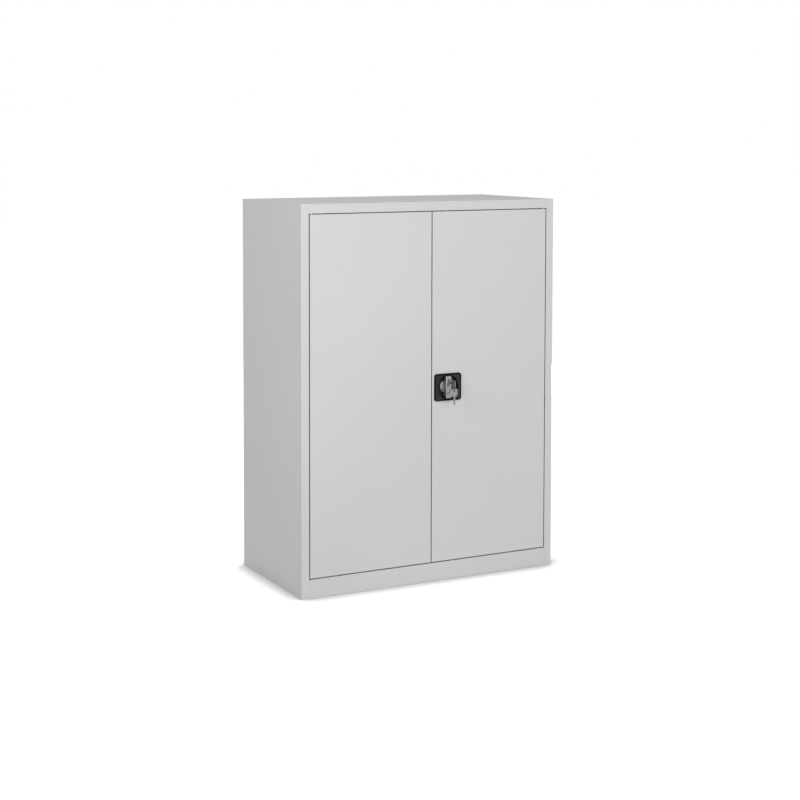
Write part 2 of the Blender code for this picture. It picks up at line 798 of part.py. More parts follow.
def lock_escutcheon(axis):
    """The black plate let into the right door: a rimmed face with a round dish for the fingers."""
    seat = FRONT_Y - FIT
    face = seat - PLATE_THICKNESS
    rim_face = face - PLATE_RIM_RISE
    middle = (LOCK_X, (seat + rim_face) / 2, LOCK_Z)
    plate = extruded("lock_escutcheon", [lock_plate_outline()], seat - rim_face, middle, IN_FRONT_VIEW)
    boss = rod("dish_boss", BOSS_RADIUS, (LOCK_X, face, LOCK_Z), (LOCK_X, DISH_BACK_Y, LOCK_Z), DISH_STEPS)
    join(plate, boss, axis)
    inset = 2 * PLATE_RIM_WIDTH
    field_corner = PLATE_CORNER - PLATE_RIM_WIDTH
    field_outline = rounded_rectangle(PLATE_WIDTH - inset, PLATE_HEIGHT - inset, field_corner)
    field_depth = PLATE_RIM_RISE + OVERRUN
    field_middle = (LOCK_X, face - field_depth / 2, LOCK_Z)
    field = extruded("plate_field", [field_outline], field_depth, field_middle, IN_FRONT_VIEW)
    cut(plate, field, axis)
    cut(plate, dish_cutter(face), axis)
    eye = rod(
        "spindle_eye",
        SPINDLE_EYE_RADIUS,
        (LOCK_X, DISH_FLOOR_Y - OVERRUN, LOCK_Z),
        (LOCK_X, DISH_BACK_Y + OVERRUN, LOCK_Z),
    )
    cut(plate, eye, axis)
    return show(plate, black_plastic, axis)


def dish_cutter(face):
    """The hollow of the dish: a tapered well with a rounded foot, run a little out of the plate's face."""
    foot = DISH_RADIUS - DISH_FLOOR_RADIUS
    depth = DISH_FLOOR_Y - face
    profile = [(0, OVERRUN), (DISH_RADIUS, OVERRUN), (DISH_RADIUS, foot - depth)]
    for step in range(1, ARC_STEPS + 1):
        angle = QUARTER_TURN * step / ARC_STEPS
        profile.append((DISH_FLOOR_RADIUS + foot * math.cos(angle), foot - depth - foot * math.sin(angle)))
    profile.append((0, -depth))
    return turned("dish_hollow", profile, (LOCK_X, face, LOCK_Z), FACING_FRONT, DISH_STEPS)


def cut_door_for_lock(skin, axis):
    """The round hole for the dish, and the holes in the door's edges that the lock rods shoot through."""
    clear = BOSS_RADIUS + FIT
    hole = rod(
        "lock_cutout",
        clear,
        (LOCK_X, FRONT_Y - OVERRUN, LOCK_Z),
        (LOCK_X, FRONT_Y + SHEET + OVERRUN, LOCK_Z),
        DISH_STEPS,
    )
    cut(skin, hole, axis)
    lines = []
    for z in (DOOR_LOW_Z, DOOR_HIGH_Z):
        lines.append(((LOCK_X, ROD_Y, z - OVERRUN), (LOCK_X, ROD_Y, z + OVERRUN)))
    cut(skin, rods("rod_exits", ROD_RADIUS + FIT, lines), axis)


def lock_case(axis):
    """The cover of the lock works inside the door, notched for the straps of the rods."""
    half_width = CASE_WIDTH / 2
    half_height = CASE_HEIGHT / 2
    low = (LOCK_X - half_width, CASE_Y, LOCK_Z - half_height)
    high = (LOCK_X + half_width, CASE_BACK_Y, LOCK_Z + half_height)
    case = box("lock_case", low, high)
    wall = Vector((CASE_SHEET, 0, CASE_SHEET))
    hollow_low = Vector(low) + wall - Vector((0, OVERRUN, 0))
    hollow_high = Vector(high) - wall - Vector((0, CASE_SHEET, 0))
    cut(case, box("case_hollow", hollow_low, hollow_high), axis)
    strap_high = STRAP_BACK_Y + 2 * FIT
    reach = half_height + OVERRUN
    run = STRAP_OUTER_X + 2 * FIT
    notch_low = (LOCK_X - run, CASE_Y - OVERRUN, LOCK_Z - reach)
    notch_high = (LOCK_X + run, strap_high, LOCK_Z + reach)
    cut(case, box("case_notches", notch_low, notch_high), axis)
    bore = rod(
        "case_spindle_hole",
        SPINDLE_EYE_RADIUS,
        (LOCK_X, CASE_BACK_Y - CASE_SHEET - OVERRUN, LOCK_Z),
        (LOCK_X, CASE_BACK_Y + OVERRUN, LOCK_Z),
    )
    cut(case, bore, axis)
    cut(case, rods("case_screw_holes", SCREW_RADIUS + FIT, case_screw_lines(OVERRUN)), axis)
    return show(case, zinc, axis)


def case_screw_lines(stretch=0):
    """The four screws that hold the case, from behind it forward to the plate's boss."""
    lines = []
    for side in (-1, 1):
        for up in (-1, 1):
            x = LOCK_X + side * (CASE_WIDTH / 2 - SCREW_INSET)
            z = LOCK_Z + up * (CASE_HEIGHT / 2 - SCREW_INSET)
            lines.append(((x, FRONT_Y + SHEET + FIT, z), (x, CASE_BACK_Y + FIT + stretch, z)))
    return lines


def case_screw(name, line, axis):
    """A screw from behind the case, with a round head."""
    start, end = line
    length = end[1] - start[1]
    profile = [
        (0, SCREW_HEAD_HEIGHT),
        (SCREW_RADIUS, SCREW_HEAD_HEIGHT),
        (SCREW_HEAD_RADIUS, SCREW_HEAD_HEIGHT / 2),
        (SCREW_HEAD_RADIUS, 0),
        (SCREW_RADIUS, 0),
        (SCREW_RADIUS, -length),
        (0, -length),
    ]
    return show(turned(name, profile, end, FACING_BACK), zinc, axis)


def rod_guide(name, up, axis):
    """An angle inside the right door, with a hole that a lock rod slides through."""
    half = GUIDE_WIDTH / 2
    seat = FRONT_Y + SHEET + FIT
    z = LOCK_Z + up * GUIDE_SHARE * (DOOR_HIGH_Z - LOCK_Z)
    line = [(seat + GUIDE_DEPTH, z), (seat, z), (seat, z + GUIDE_FOOT)]
    outline = folded_outline(line, GUIDE_SHEET, GUIDE_SHEET + BEND)
    guide = extruded(name, [outline], GUIDE_WIDTH, (LOCK_X, 0, 0), IN_SIDE_VIEW)
    hole = rod(name + "_hole", ROD_RADIUS + FIT, (LOCK_X, ROD_Y, z - half), (LOCK_X, ROD_Y, z + half))
    cut(guide, hole, axis)
    return show(guide, zinc, axis)


def lock_rod(name, up, axis):
    """A lock rod: a strap forked round its drive pin, a block, and a round bar to the door's edge."""
    side = -up
    slot_z = -DRIVE_THROW / 2
    half_slot = DRIVE_PIN_RADIUS + DRIVE_SLACK
    foot = slot_z - half_slot - STRAP_WALL
    block = CASE_HEIGHT / 2 + STRAP_HEAD_GAP
    head = block + ROD_BLOCK + STRAP_WALL
    outline = [
        (STRAP_OUTER_X, foot),
        (STRAP_WAIST, foot),
        (STRAP_WAIST, slot_z - half_slot),
        (STRAP_SLOT_X, slot_z - half_slot),
        (STRAP_SLOT_X, slot_z + half_slot),
        (STRAP_WAIST, slot_z + half_slot),
        (STRAP_WAIST, STRAP_SHOULDER),
        (-ROD_RADIUS, STRAP_SHOULDER + STRAP_NECK),
        (-ROD_RADIUS, head),
        (ROD_RADIUS, head),
        (ROD_RADIUS, block - STRAP_NECK + ROD_RADIUS),
        (STRAP_OUTER_X, block - 2 * STRAP_NECK),
    ]
    placed = [(side * x, up * z) for x, z in outline]
    middle = (LOCK_X, STRAP_Y + STRAP_THICKNESS / 2, LOCK_Z)
    strap = extruded(name, [placed], STRAP_THICKNESS, middle, IN_FRONT_VIEW)
    half = ROD_RADIUS * BLOCK_SHARE
    zs = sorted((LOCK_Z + up * block, LOCK_Z + up * (block + ROD_BLOCK)))
    low = (LOCK_X - half, ROD_Y, zs[0])
    high = (LOCK_X + half, STRAP_Y + STRAP_THICKNESS / 2, zs[1])
    join(strap, box(name + "_block", low, high), axis)
    tip = DOOR_HIGH_Z + ROD_TIP if up == 1 else DOOR_LOW_Z - ROD_TIP
    start = (LOCK_X, ROD_Y, LOCK_Z + up * (block - OVERRUN))
    join(strap, rod(name + "_bar", ROD_RADIUS, start, (LOCK_X, ROD_Y, tip)), axis)
    return show(strap, zinc, axis)


def square_hole(name, low_y, high_y):
    """A cutter for the hole that the spindle fits in."""
    half = SPINDLE_SIDE / 2 + FIT
    return box(name, (LOCK_X - half, low_y, LOCK_Z - half), (LOCK_X + half, high_y, LOCK_Z + half))


def cam_disc(axis):
    """The disc that the spindle turns, with a drive pin for each lock rod."""
    disc = rod(
        "cam_disc",
        DISC_RADIUS,
        (LOCK_X, DISC_Y, LOCK_Z),
        (LOCK_X, DISC_Y + DISC_THICKNESS, LOCK_Z),
        2 * ROUND_STEPS,
    )
    pins = []
    for side in (-1, 1):
        x = LOCK_X + side * DRIVE_THROW / 2
        z = LOCK_Z + side * DRIVE_THROW / 2
        pins.append(((x, DISC_Y + DISC_THICKNESS / 2, z), (x, STRAP_BACK_Y + PIN_TAIL, z)))
    join(disc, rods("drive_pins", DRIVE_PIN_RADIUS, pins), axis)
    cut(disc, square_hole("disc_square", DISC_Y - OVERRUN, STRAP_Y + OVERRUN), axis)
    return show(disc, zinc, axis)


def lock_spindle(axis):
    """The square bar from the knob to the latch arm, with a round stud for its nut."""
    half = SPINDLE_SIDE / 2
    low = (LOCK_X - half, KNOB_BACK_Y - SPINDLE_SEAT, LOCK_Z - half)
    high = (LOCK_X + half, ARM_BACK_Y, LOCK_Z + half)
    bar = box("lock_spindle", low, high)
    end = ARM_BACK_Y + NUT_THICKNESS + 2 * FIT
    stud = rod("spindle_stud", STUD_RADIUS, (LOCK_X, ARM_Y, LOCK_Z), (LOCK_X, end, LOCK_Z))
    join(bar, stud, axis)
    return show(bar, zinc, axis)


def latch_arm(axis):
    """The arm behind the lock case, which swings behind the strike plate as the knob turns."""
    end = ARM_WIDTH / 2
    reach = ARM_LENGTH - end
    outline = []
    for step in range(2 * ARC_STEPS + 1):
        angle = math.pi * step / (2 * ARC_STEPS)
        outline.append((end * math.cos(angle), end * math.sin(angle)))
    for step in range(2 * ARC_STEPS + 1):
        angle = math.pi * (1 + step / (2 * ARC_STEPS))
        outline.append((end * math.cos(angle), end * math.sin(angle) - reach))
    middle = (LOCK_X, (ARM_Y + ARM_BACK_Y) / 2, LOCK_Z)
    arm = extruded("latch_arm", [outline], ARM_THICKNESS, middle, IN_FRONT_VIEW)
    cut(arm, square_hole("arm_square", ARM_Y - OVERRUN, ARM_BACK_Y + OVERRUN), axis)
    return show(arm, zinc, axis)


def arm_nut(axis):
    outlines = [ring_of_points(NUT_RADIUS, steps=6), ring_of_points(STUD_RADIUS + FIT)]
    middle = (LOCK_X, ARM_BACK_Y + FIT + NUT_THICKNESS / 2, LOCK_Z)
    return show(extruded("arm_nut", outlines, NUT_THICKNESS, middle, IN_FRONT_VIEW), zinc, axis)


def turning_knob(axis):
    """The knob: a disc in the dish and a grip bar across it, undercut at both ends for the fingers."""
    front = FRONT_Y - GRIP_PROUD
    foot = KNOB_BACK_Y - KNOB_DISC_THICKNESS / 2
    outline = [
        (front, GRIP_LENGTH / 2),
        (front, -GRIP_LENGTH / 2),
        (foot, -GRIP_FOOT_LENGTH / 2),
        (foot, GRIP_FOOT_LENGTH / 2),
    ]
    grip = extruded("turning_knob", [outline], GRIP_WIDTH, (LOCK_X, 0, LOCK_Z), IN_SIDE_VIEW)
    round_edges(grip, GRIP_EDGE, BEND_STEPS + 1)
    disc = rod(
        "knob_disc",
        KNOB_DISC_RADIUS,
        (LOCK_X, KNOB_BACK_Y - KNOB_DISC_THICKNESS, LOCK_Z),
        (LOCK_X, KNOB_BACK_Y, LOCK_Z),
        2 * ROUND_STEPS,
    )
    round_edges(disc, GRIP_EDGE / 2)
    join(grip, disc, axis)
    cut(grip, square_hole("knob_square", KNOB_BACK_Y - SPINDLE_SEAT - FIT, KNOB_BACK_Y + OVERRUN), axis)
    bore = rod(
        "cylinder_bore",
        CYLINDER_RADIUS + FIT,
        (LOCK_X, front - OVERRUN, CYLINDER_Z),
        (LOCK_X, front + CYLINDER_LENGTH + FIT, CYLINDER_Z),
    )
    cut(grip, bore, axis)
    return show(grip, satin_metal, axis)


def lock_cylinder(axis):
    """The cylinder let into the upper half of the grip, with its flange on the grip's face."""
    bore = PLUG_RADIUS + FIT
    profile = [
        (bore, CYLINDER_FLANGE_THICKNESS),
        (CYLINDER_FLANGE_RADIUS, CYLINDER_FLANGE_THICKNESS),
        (CYLINDER_FLANGE_RADIUS, 0),
        (CYLINDER_RADIUS, 0),
        (CYLINDER_RADIUS, -CYLINDER_LENGTH),
        (bore, -CYLINDER_LENGTH),
    ]
    place = (LOCK_X, FRONT_Y - GRIP_PROUD - FIT, CYLINDER_Z)
    return show(turned("lock_cylinder", profile, place, FACING_FRONT), satin_metal, axis)


def cylinder_plug(axis):
    """The plug that the key turns, with its keyway."""
    front = CYLINDER_FACE_Y - FIT - PLUG_PROUD
    plug = rod(
        "cylinder_plug",
        PLUG_RADIUS,
        (LOCK_X, front, CYLINDER_Z),
        (LOCK_X, FRONT_Y - GRIP_PROUD + CYLINDER_LENGTH - FIT, CYLINDER_Z),
    )
    half = KEY_THICKNESS / 2 + FIT
    rise = KEY_BLADE_WIDTH / 2 + FIT
    low = (LOCK_X - half, front - OVERRUN, CYLINDER_Z - rise)
    high = (LOCK_X + half, CYLINDER_FACE_Y + KEYWAY_DEPTH, CYLINDER_Z + rise)
    cut(plug, box("keyway", low, high), axis)
    return show(plug, satin_metal, axis)


def key_outline():
    """A flat key: its tip at zero, the notched blade, and the bow with a hole near its end."""
    half = KEY_BLADE_WIDTH / 2
    wide = BOW_WIDTH / 2
    end = KEY_BLADE_LENGTH + BOW_LENGTH
    outline = [(0, -half / 2), (half / 2, -half), (KEY_BLADE_LENGTH, -half)]
    outline += [(KEY_BLADE_LENGTH, half / 2 - wide), (KEY_BLADE_LENGTH + BOW_CORNER, -wide)]
    outline += [(end - BOW_CORNER / 2, -wide), (end, BOW_CORNER / 2 - wide)]
    outline += [(end, wide - BOW_CORNER / 2), (end - BOW_CORNER / 2, wide)]
    outline += [(KEY_BLADE_LENGTH + BOW_CORNER, wide), (KEY_BLADE_LENGTH, wide - half / 2)]
    outline += [(KEY_BLADE_LENGTH, half)]
    step = KEY_BLADE_LENGTH / (KEY_NOTCHES + 2)
    for number in range(KEY_NOTCHES, 0, -1):
        middle = number * step
        depth = KEY_NOTCH_DEPTH / (1 + number % 2)
        outline += [(middle + step / 2, half), (middle, half - depth)]
    outline += [(step / 2, half), (0, half / 2)]
    return outline, ring_of_points(KEY_HOLE_RADIUS, (end - KEY_HOLE_INSET, 0))


def key(axis):
    """The key in the lock, its bow upright and square to the door."""
    tip = CYLINDER_FACE_Y + KEY_IN_CYLINDER
    outlines = [[(tip - along, across) for along, across in outline] for outline in key_outline()]
    flat = extruded("key", outlines, KEY_THICKNESS, (LOCK_X, 0, CYLINDER_Z), IN_SIDE_VIEW)
    return show(flat, satin_metal, axis)


def key_ring(axis):
    """The wire ring, hung in the key's hole."""
    profile = [(RING_RADIUS + x, z) for x, z in ring_of_points(RING_WIRE, steps=ROUND_STEPS // 2)]
    place = (LOCK_X, KEY_HOLE_Y, RING_Z)
    ring = turned("key_ring", profile[::-1], place, ALONG_RING, 2 * ROUND_STEPS)
    return show(ring, satin_metal, axis)


def spare_key(axis):
    """The spare key, hung from the ring with its blade down."""
    tip = SPARE_HOLE_Z - (KEY_BLADE_LENGTH + BOW_LENGTH - KEY_HOLE_INSET)
    outlines = [[(across, along) for along, across in outline] for outline in key_outline()]
    flat = extruded("spare_key", outlines, KEY_THICKNESS, (LOCK_X, KEY_HOLE_Y, tip), IN_FRONT_VIEW)
    return show(flat, satin_metal, axis)


def build_carcass():
    side_panel("left_side_panel", -1)
    side_panel("right_side_panel", 1)
    top_panel()
    head_rail()
    plinth()
    back_panel()
    rear_base_rail()
    floor_panel()
    for hand, side in (("left", -1), ("right", 1)):
        shelf_upright("front_" + hand + "_upright", side, FRONT_UPRIGHT_Y)
        shelf_upright("rear_" + hand + "_upright", side, REAR_UPRIGHT_Y)
        pivot_bush("lower_" + hand + "_bush", side, PLINTH_HEIGHT + FIT, IN_PLAN)
        pivot_bush("upper_" + hand + "_bush", side, RAIL_Z - FIT, UPSIDE_DOWN)
        door_buffer("lower_" + hand + "_buffer", side, PLINTH_HEIGHT + STOP_LIP / 2)
        door_buffer("upper_" + hand + "_buffer", side, RAIL_Z - STOP_LIP / 2)
    for row, number in zip(("lower", "upper"), SHELF_SLOTS):
        shelf(row + "_shelf", number)
        for hand, side in (("left", -1), ("right", 1)):
            shelf_clip(row + "_front_" + hand + "_clip", side, FRONT_UPRIGHT_Y, number)
            shelf_clip(row + "_rear_" + hand + "_clip", side, REAR_UPRIGHT_Y, number)


def build_door(hand, side):
    """A door on its pivots, and the empty that it turns with."""
    axis = add_axis(hand + "_door_axis", (side * PIVOT_X, PIVOT_Y, LOCK_Z))
    skin = door_skin(hand + "_door_skin", side, axis)
    stiffener(hand + "_door_stiffener", side, axis)
    door_pivots(hand, side, axis)
    return skin, axis


def build_lock(skin, door_axis):
    cut_door_for_lock(skin, door_axis)
    lock_escutcheon(door_axis)
    lock_case(door_axis)
    names = ("lower_left", "upper_left", "lower_right", "upper_right")
    for name, line in zip(names, case_screw_lines()):
        case_screw(name + "_case_screw", line, door_axis)
    middle = (LOCK_X, FRONT_Y, LOCK_Z)
    for row, up in (("upper", 1), ("lower", -1)):
        rod_guide(row + "_rod_guide", up, door_axis)
        lock_rod(row + "_lock_rod", up, add_axis(row + "_rod_axis", middle, door_axis))
    handle_axis = add_axis("handle_axis", middle, door_axis)
    turning_knob(handle_axis)
    lock_spindle(handle_axis)
    cam_disc(handle_axis)
    latch_arm(handle_axis)
    arm_nut(handle_axis)
    lock_cylinder(handle_axis)
    key_axis = add_axis("key_axis", (LOCK_X, FRONT_Y, CYLINDER_Z), handle_axis)
    cylinder_plug(key_axis)
    key(key_axis)
    ring_axis = add_axis("ring_axis", (LOCK_X, KEY_HOLE_Y, RING_TOP_Z), key_axis)
    key_ring(ring_axis)
    spare_key(add_axis("spare_key_axis", (LOCK_X, KEY_HOLE_Y, RING_LOW_Z), ring_axis))


clear_scene()
parts = add_collection("steel_cupboard")
cutters = add_collection("cutters_and_guides")
grey_paint = paint("light_grey_powder_coat", (0.62, 0.62, 0.62), 0.45, 0)
zinc = paint("zinc_plated_steel", (0.55, 0.56, 0.58), 0.35, 1)
satin_metal = paint("satin_nickel", (0.60, 0.60, 0.60), 0.30, 1)
black_plastic = paint("black_plastic", (0.02, 0.02, 0.02), 0.40, 0)
rubber = paint("black_rubber", (0.03, 0.03, 0.03), 0.80, 0)

build_carcass()
left_skin, left_axis = build_door("left", -1)
strike_plate(left_axis)
right_skin, right_axis = build_door("right", 1)
build_lock(right_skin, right_axis)
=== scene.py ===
import json
import math

import bmesh
import bpy
from mathutils import Matrix, Vector


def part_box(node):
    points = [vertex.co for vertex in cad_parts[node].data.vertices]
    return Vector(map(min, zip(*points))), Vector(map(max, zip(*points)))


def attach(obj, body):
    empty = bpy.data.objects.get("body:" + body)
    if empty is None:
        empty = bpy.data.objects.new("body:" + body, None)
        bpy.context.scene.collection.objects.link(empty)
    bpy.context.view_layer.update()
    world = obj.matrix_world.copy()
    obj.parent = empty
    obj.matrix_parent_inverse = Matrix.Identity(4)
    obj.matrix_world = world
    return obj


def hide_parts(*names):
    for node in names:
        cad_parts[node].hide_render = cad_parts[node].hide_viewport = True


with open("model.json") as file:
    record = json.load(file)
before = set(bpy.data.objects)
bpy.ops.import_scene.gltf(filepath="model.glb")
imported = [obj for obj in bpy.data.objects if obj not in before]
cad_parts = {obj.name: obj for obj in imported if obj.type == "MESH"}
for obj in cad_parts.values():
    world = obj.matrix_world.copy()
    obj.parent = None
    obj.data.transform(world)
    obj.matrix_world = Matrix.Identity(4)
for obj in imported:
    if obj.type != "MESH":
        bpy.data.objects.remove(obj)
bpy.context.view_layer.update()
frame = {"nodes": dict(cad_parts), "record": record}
nodes = frame["nodes"]
print("stage 1: the frame is loaded")

# places that several pieces share, all in metres
plateLow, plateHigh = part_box("lock_escutcheon")
knobLow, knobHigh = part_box("turning_knob")
plugLow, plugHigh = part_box("cylinder_plug")
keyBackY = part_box("key")[1][1]
spareLow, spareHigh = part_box("spare_key")
ringLow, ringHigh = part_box("key_ring")
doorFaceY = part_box("right_door_skin")[0][1]
lockX = (plateLow[0] + plateHigh[0]) / 2
lockZ = (plateLow[2] + plateHigh[2]) / 2
cylinderZ = (plugLow[2] + plugHigh[2]) / 2


# materials


noiseRange = (0.3, 0.7)  # a noise seldom leaves these values
bevelSamples = 6
gapSamples = 8


def startMaterial(name, roughness, metallic=0.0):
    material = bpy.data.materials.new(name)
    material.use_nodes = True
    shader = material.node_tree.nodes["Principled BSDF"]
    shader.inputs["Roughness"].default_value = roughness
    shader.inputs["Metallic"].default_value = metallic
    return material, material.node_tree, shader


def addNoise(tree, coordinates, scale, detail):
    noise = tree.nodes.new("ShaderNodeTexNoise")
    noise.inputs["Scale"].default_value = scale
    noise.inputs["Detail"].default_value = detail
    tree.links.new(coordinates, noise.inputs["Vector"])
    return noise.outputs["Fac"]


def objectPlace(tree, stretch=(1.0, 1.0, 1.0)):
    place = tree.nodes.new("ShaderNodeTexCoord").outputs["Object"]
    mapping = tree.nodes.new("ShaderNodeMapping")
    mapping.inputs["Scale"].default_value = stretch
    tree.links.new(place, mapping.inputs["Vector"])
    return mapping.outputs["Vector"]


def spread(tree, value, low, high):
    # turns a noise into a range of values
    reach = tree.nodes.new("ShaderNodeMapRange")
    reach.inputs["From Min"].default_value = noiseRange[0]
    reach.inputs["From Max"].default_value = noiseRange[1]
    reach.inputs["To Min"].default_value = low
    reach.inputs["To Max"].default_value = high
    tree.links.new(value, reach.inputs["Value"])
    return reach.outputs["Result"]


def tint(tree, value, darkColour, lightColour):
    ramp = tree.nodes.new("ShaderNodeValToRGB")
    ramp.color_ramp.elements[0].position = noiseRange[0]
    ramp.color_ramp.elements[0].color = (*darkColour, 1)
    ramp.color_ramp.elements[1].position = noiseRange[1]
    ramp.color_ramp.elements[1].color = (*lightColour, 1)
    tree.links.new(value, ramp.inputs["Fac"])
    return ramp.outputs["Color"]


def roundedNormal(tree, shader, height, strength, depth, edge):
    # a fine relief over edges that catch the light as if they were rounded
    bump = tree.nodes.new("ShaderNodeBump")
    bump.inputs["Strength"].default_value = strength
    bump.inputs["Distance"].default_value = depth
    tree.links.new(height, bump.inputs["Height"])
    if edge:
        bevel = tree.nodes.new("ShaderNodeBevel")
        bevel.samples = bevelSamples
        bevel.inputs["Radius"].default_value = edge
        tree.links.new(bevel.outputs["Normal"], bump.inputs["Normal"])
    tree.links.new(bump.outputs["Normal"], shader.inputs["Normal"])


# in each look a noise has its scale, in clouds to the metre, and its detail, in finer layers
powderCoatLook = {
    "darkColour": (0.612, 0.614, 0.616),
    "lightColour": (0.634, 0.636, 0.637),
    "roughness": (0.44, 0.46),
    "drift": (2.2, 3.0),
    "grime": (14.0, 4.0),
    "peel": (620.0, 1.0),  # the orange peel of a powder coat
    "peelStrength": 0.35,
    "peelDepth": 0.00025,
    "edge": 0.0004,
    "specular": 0.5,
    # the next entries paint shade into the coat's colour in gaps and creases, where light is trapped
    "gapReach": 0.008,  # how far into a gap the shade gathers
    "gapOpenness": (0.42, 0.90),
    "gapShade": 0.45,
    "footHeight": (0.004, 0.012),  # the coat isn't dimmed this near the floor
}


def opennessOf(tree, reach, shut, clear):
    # how open the space over a face is, from nought deep in a gap to one in the clear; it sets the painted
    # shade
    occlusion = tree.nodes.new("ShaderNodeAmbientOcclusion")
    occlusion.samples = gapSamples
    occlusion.inputs["Distance"].default_value = reach
    openness = tree.nodes.new("ShaderNodeMapRange")
    openness.inputs["From Min"].default_value = shut
    openness.inputs["From Max"].default_value = clear
    tree.links.new(occlusion.outputs["AO"], openness.inputs["Value"])
    return openness.outputs["Result"]


def clearAtFoot(tree, openness, low, high):
    # counts the lowest few millimetres as open, so the painted gap shade leaves them, where the floor itself
    # holds the shade
    split = tree.nodes.new("ShaderNodeSeparateXYZ")
    tree.links.new(tree.nodes.new("ShaderNodeNewGeometry").outputs["Position"], split.inputs["Vector"])
    foot = tree.nodes.new("ShaderNodeMapRange")
    foot.inputs["From Min"].default_value = low
    foot.inputs["From Max"].default_value = high
    foot.inputs["To Min"].default_value = 1
    foot.inputs["To Max"].default_value = 0
    tree.links.new(split.outputs["Z"], foot.inputs["Value"])
    most = tree.nodes.new("ShaderNodeMath")
    most.operation = "MAXIMUM"
    tree.links.new(openness, most.inputs[0])
    tree.links.new(foot.outputs["Result"], most.inputs[1])
    return most.outputs["Value"]


def dim(tree, colour, openness, least):
    # painted shade: the colour at its full strength in the clear, and at its least share in a gap
    share = tree.nodes.new("ShaderNodeMapRange")
    share.inputs["To Min"].default_value = least
    tree.links.new(openness, share.inputs["Value"])
    dimmed = tree.nodes.new("ShaderNodeVectorMath")
    dimmed.operation = "SCALE"
    tree.links.new(colour, dimmed.inputs[0])
    tree.links.new(share.outputs["Result"], dimmed.inputs["Scale"])
    return dimmed.outputs["Vector"]


def makePowderCoat(look):
    material, tree, shader = startMaterial("lightGreyPowderCoat", 0.45)
    place = objectPlace(tree)
    drift = addNoise(tree, place, *look["drift"])
    peel = addNoise(tree, place, *look["peel"])
    grime = addNoise(tree, place, *look["grime"])
    paint = tint(tree, drift, look["darkColour"], look["lightColour"])
    # painted shade: the coat's colour is dimmed where an ambient occlusion node finds a gap
    openness = opennessOf(tree, look["gapReach"], *look["gapOpenness"])
    openness = clearAtFoot(tree, openness, *look["footHeight"])
    tree.links.new(dim(tree, paint, openness, look["gapShade"]), shader.inputs["Base Color"])
    shader.inputs["Specular IOR Level"].default_value = look["specular"]
    tree.links.new(spread(tree, grime, *look["roughness"]), shader.inputs["Roughness"])
    roundedNormal(tree, shader, peel, look["peelStrength"], look["peelDepth"], look["edge"])
    return material


zincLook = {
    "darkColour": (0.46, 0.47, 0.49),
    "lightColour": (0.60, 0.61, 0.63),
    "roughness": (0.26, 0.44),
    "spangleScale": 160.0,
    "cloud": (30.0, 4.0),
    "grain": (900.0, 2.0),
    "grainStrength": 0.3,
    "grainDepth": 0.0001,
    "edge": 0.0005,
}


def makeZinc(look):
    material, tree, shader = startMaterial("zincPlate", 0.35, 1.0)
    place = objectPlace(tree)
    spangle = tree.nodes.new("ShaderNodeTexVoronoi")
    spangle.inputs["Scale"].default_value = look["spangleScale"]
    tree.links.new(place, spangle.inputs["Vector"])
    tone = tree.nodes.new("ShaderNodeRGBToBW")
    tree.links.new(spangle.outputs["Color"], tone.inputs["Color"])
    grain = addNoise(tree, place, *look["grain"])
    clouds = addNoise(tree, place, *look["cloud"])
    plating = tint(tree, tone.outputs["Val"], look["darkColour"], look["lightColour"])
    tree.links.new(plating, shader.inputs["Base Color"])
    tree.links.new(spread(tree, clouds, *look["roughness"]), shader.inputs["Roughness"])
    roundedNormal(tree, shader, grain, look["grainStrength"], look["grainDepth"], look["edge"])
    return material


nickelLook = {
    "darkColour": (0.25, 0.25, 0.247),
    "lightColour": (0.37, 0.37, 0.365),
    "metallic": 0.75,
    "roughness": (0.34, 0.48),
    "streakStretch": (1.0, 1.0, 0.08),  # satin lines run up the knob
    "keyStretch": (1.0, 0.1, 1.0),
    "keyTone": 0.66,
    "cloud": (90.0, 3.0),
    "streak": (2600.0, 2.0),
    "streakStrength": 0.4,
    "streakDepth": 0.00002,
}


def makeNickel(look, name, stretch, tone=1.0):
    material, tree, shader = startMaterial(name, 0.4, look["metallic"])
    streaks = addNoise(tree, objectPlace(tree, stretch), *look["streak"])
    clouds = addNoise(tree, objectPlace(tree), *look["cloud"])
    darkColour = [tone * part for part in look["darkColour"]]
    lightColour = [tone * part for part in look["lightColour"]]
    tree.links.new(tint(tree, clouds, darkColour, lightColour), shader.inputs["Base Color"])
    tree.links.new(spread(tree, clouds, *look["roughness"]), shader.inputs["Roughness"])
    roundedNormal(tree, shader, streaks, look["streakStrength"], look["streakDepth"], 0)
    return material


blackPlasticLook = {
    "darkColour": (0.013, 0.013, 0.014),
    "lightColour": (0.021, 0.021, 0.022),
    "roughness": (0.42, 0.54),
    "specular": 0.2,
    "cloud": (60.0, 3.0),
    "grain": (1500.0, 2.0),
    "grainStrength": 0.3,
    "grainDepth": 0.00012,
}


def makeBlackPlastic(look):
    material, tree, shader = startMaterial("blackPlateGrain", 0.44)
    shader.inputs["Specular IOR Level"].default_value = look["specular"]
    place = objectPlace(tree)
    grain = addNoise(tree, place, *look["grain"])
    clouds = addNoise(tree, place, *look["cloud"])
    tree.links.new(tint(tree, clouds, look["darkColour"], look["lightColour"]), shader.inputs["Base Color"])
    tree.links.new(spread(tree, grain, *look["roughness"]), shader.inputs["Roughness"])
    roundedNormal(tree, shader, grain, look["grainStrength"], look["grainDepth"], 0)
    return material


# painted shade: the plate's rim takes a darker, barely glossy copy of the black plastic
shadedRimLook = {
    "darkColour": (0.002, 0.002, 0.002),
    "lightColour": (0.004, 0.004, 0.004),
    "roughness": (0.50, 0.60),
    "specular": 0.04,
    "grain": (1500.0, 2.0),
    "grainStrength": 0.3,
    "grainDepth": 0.00008,
}


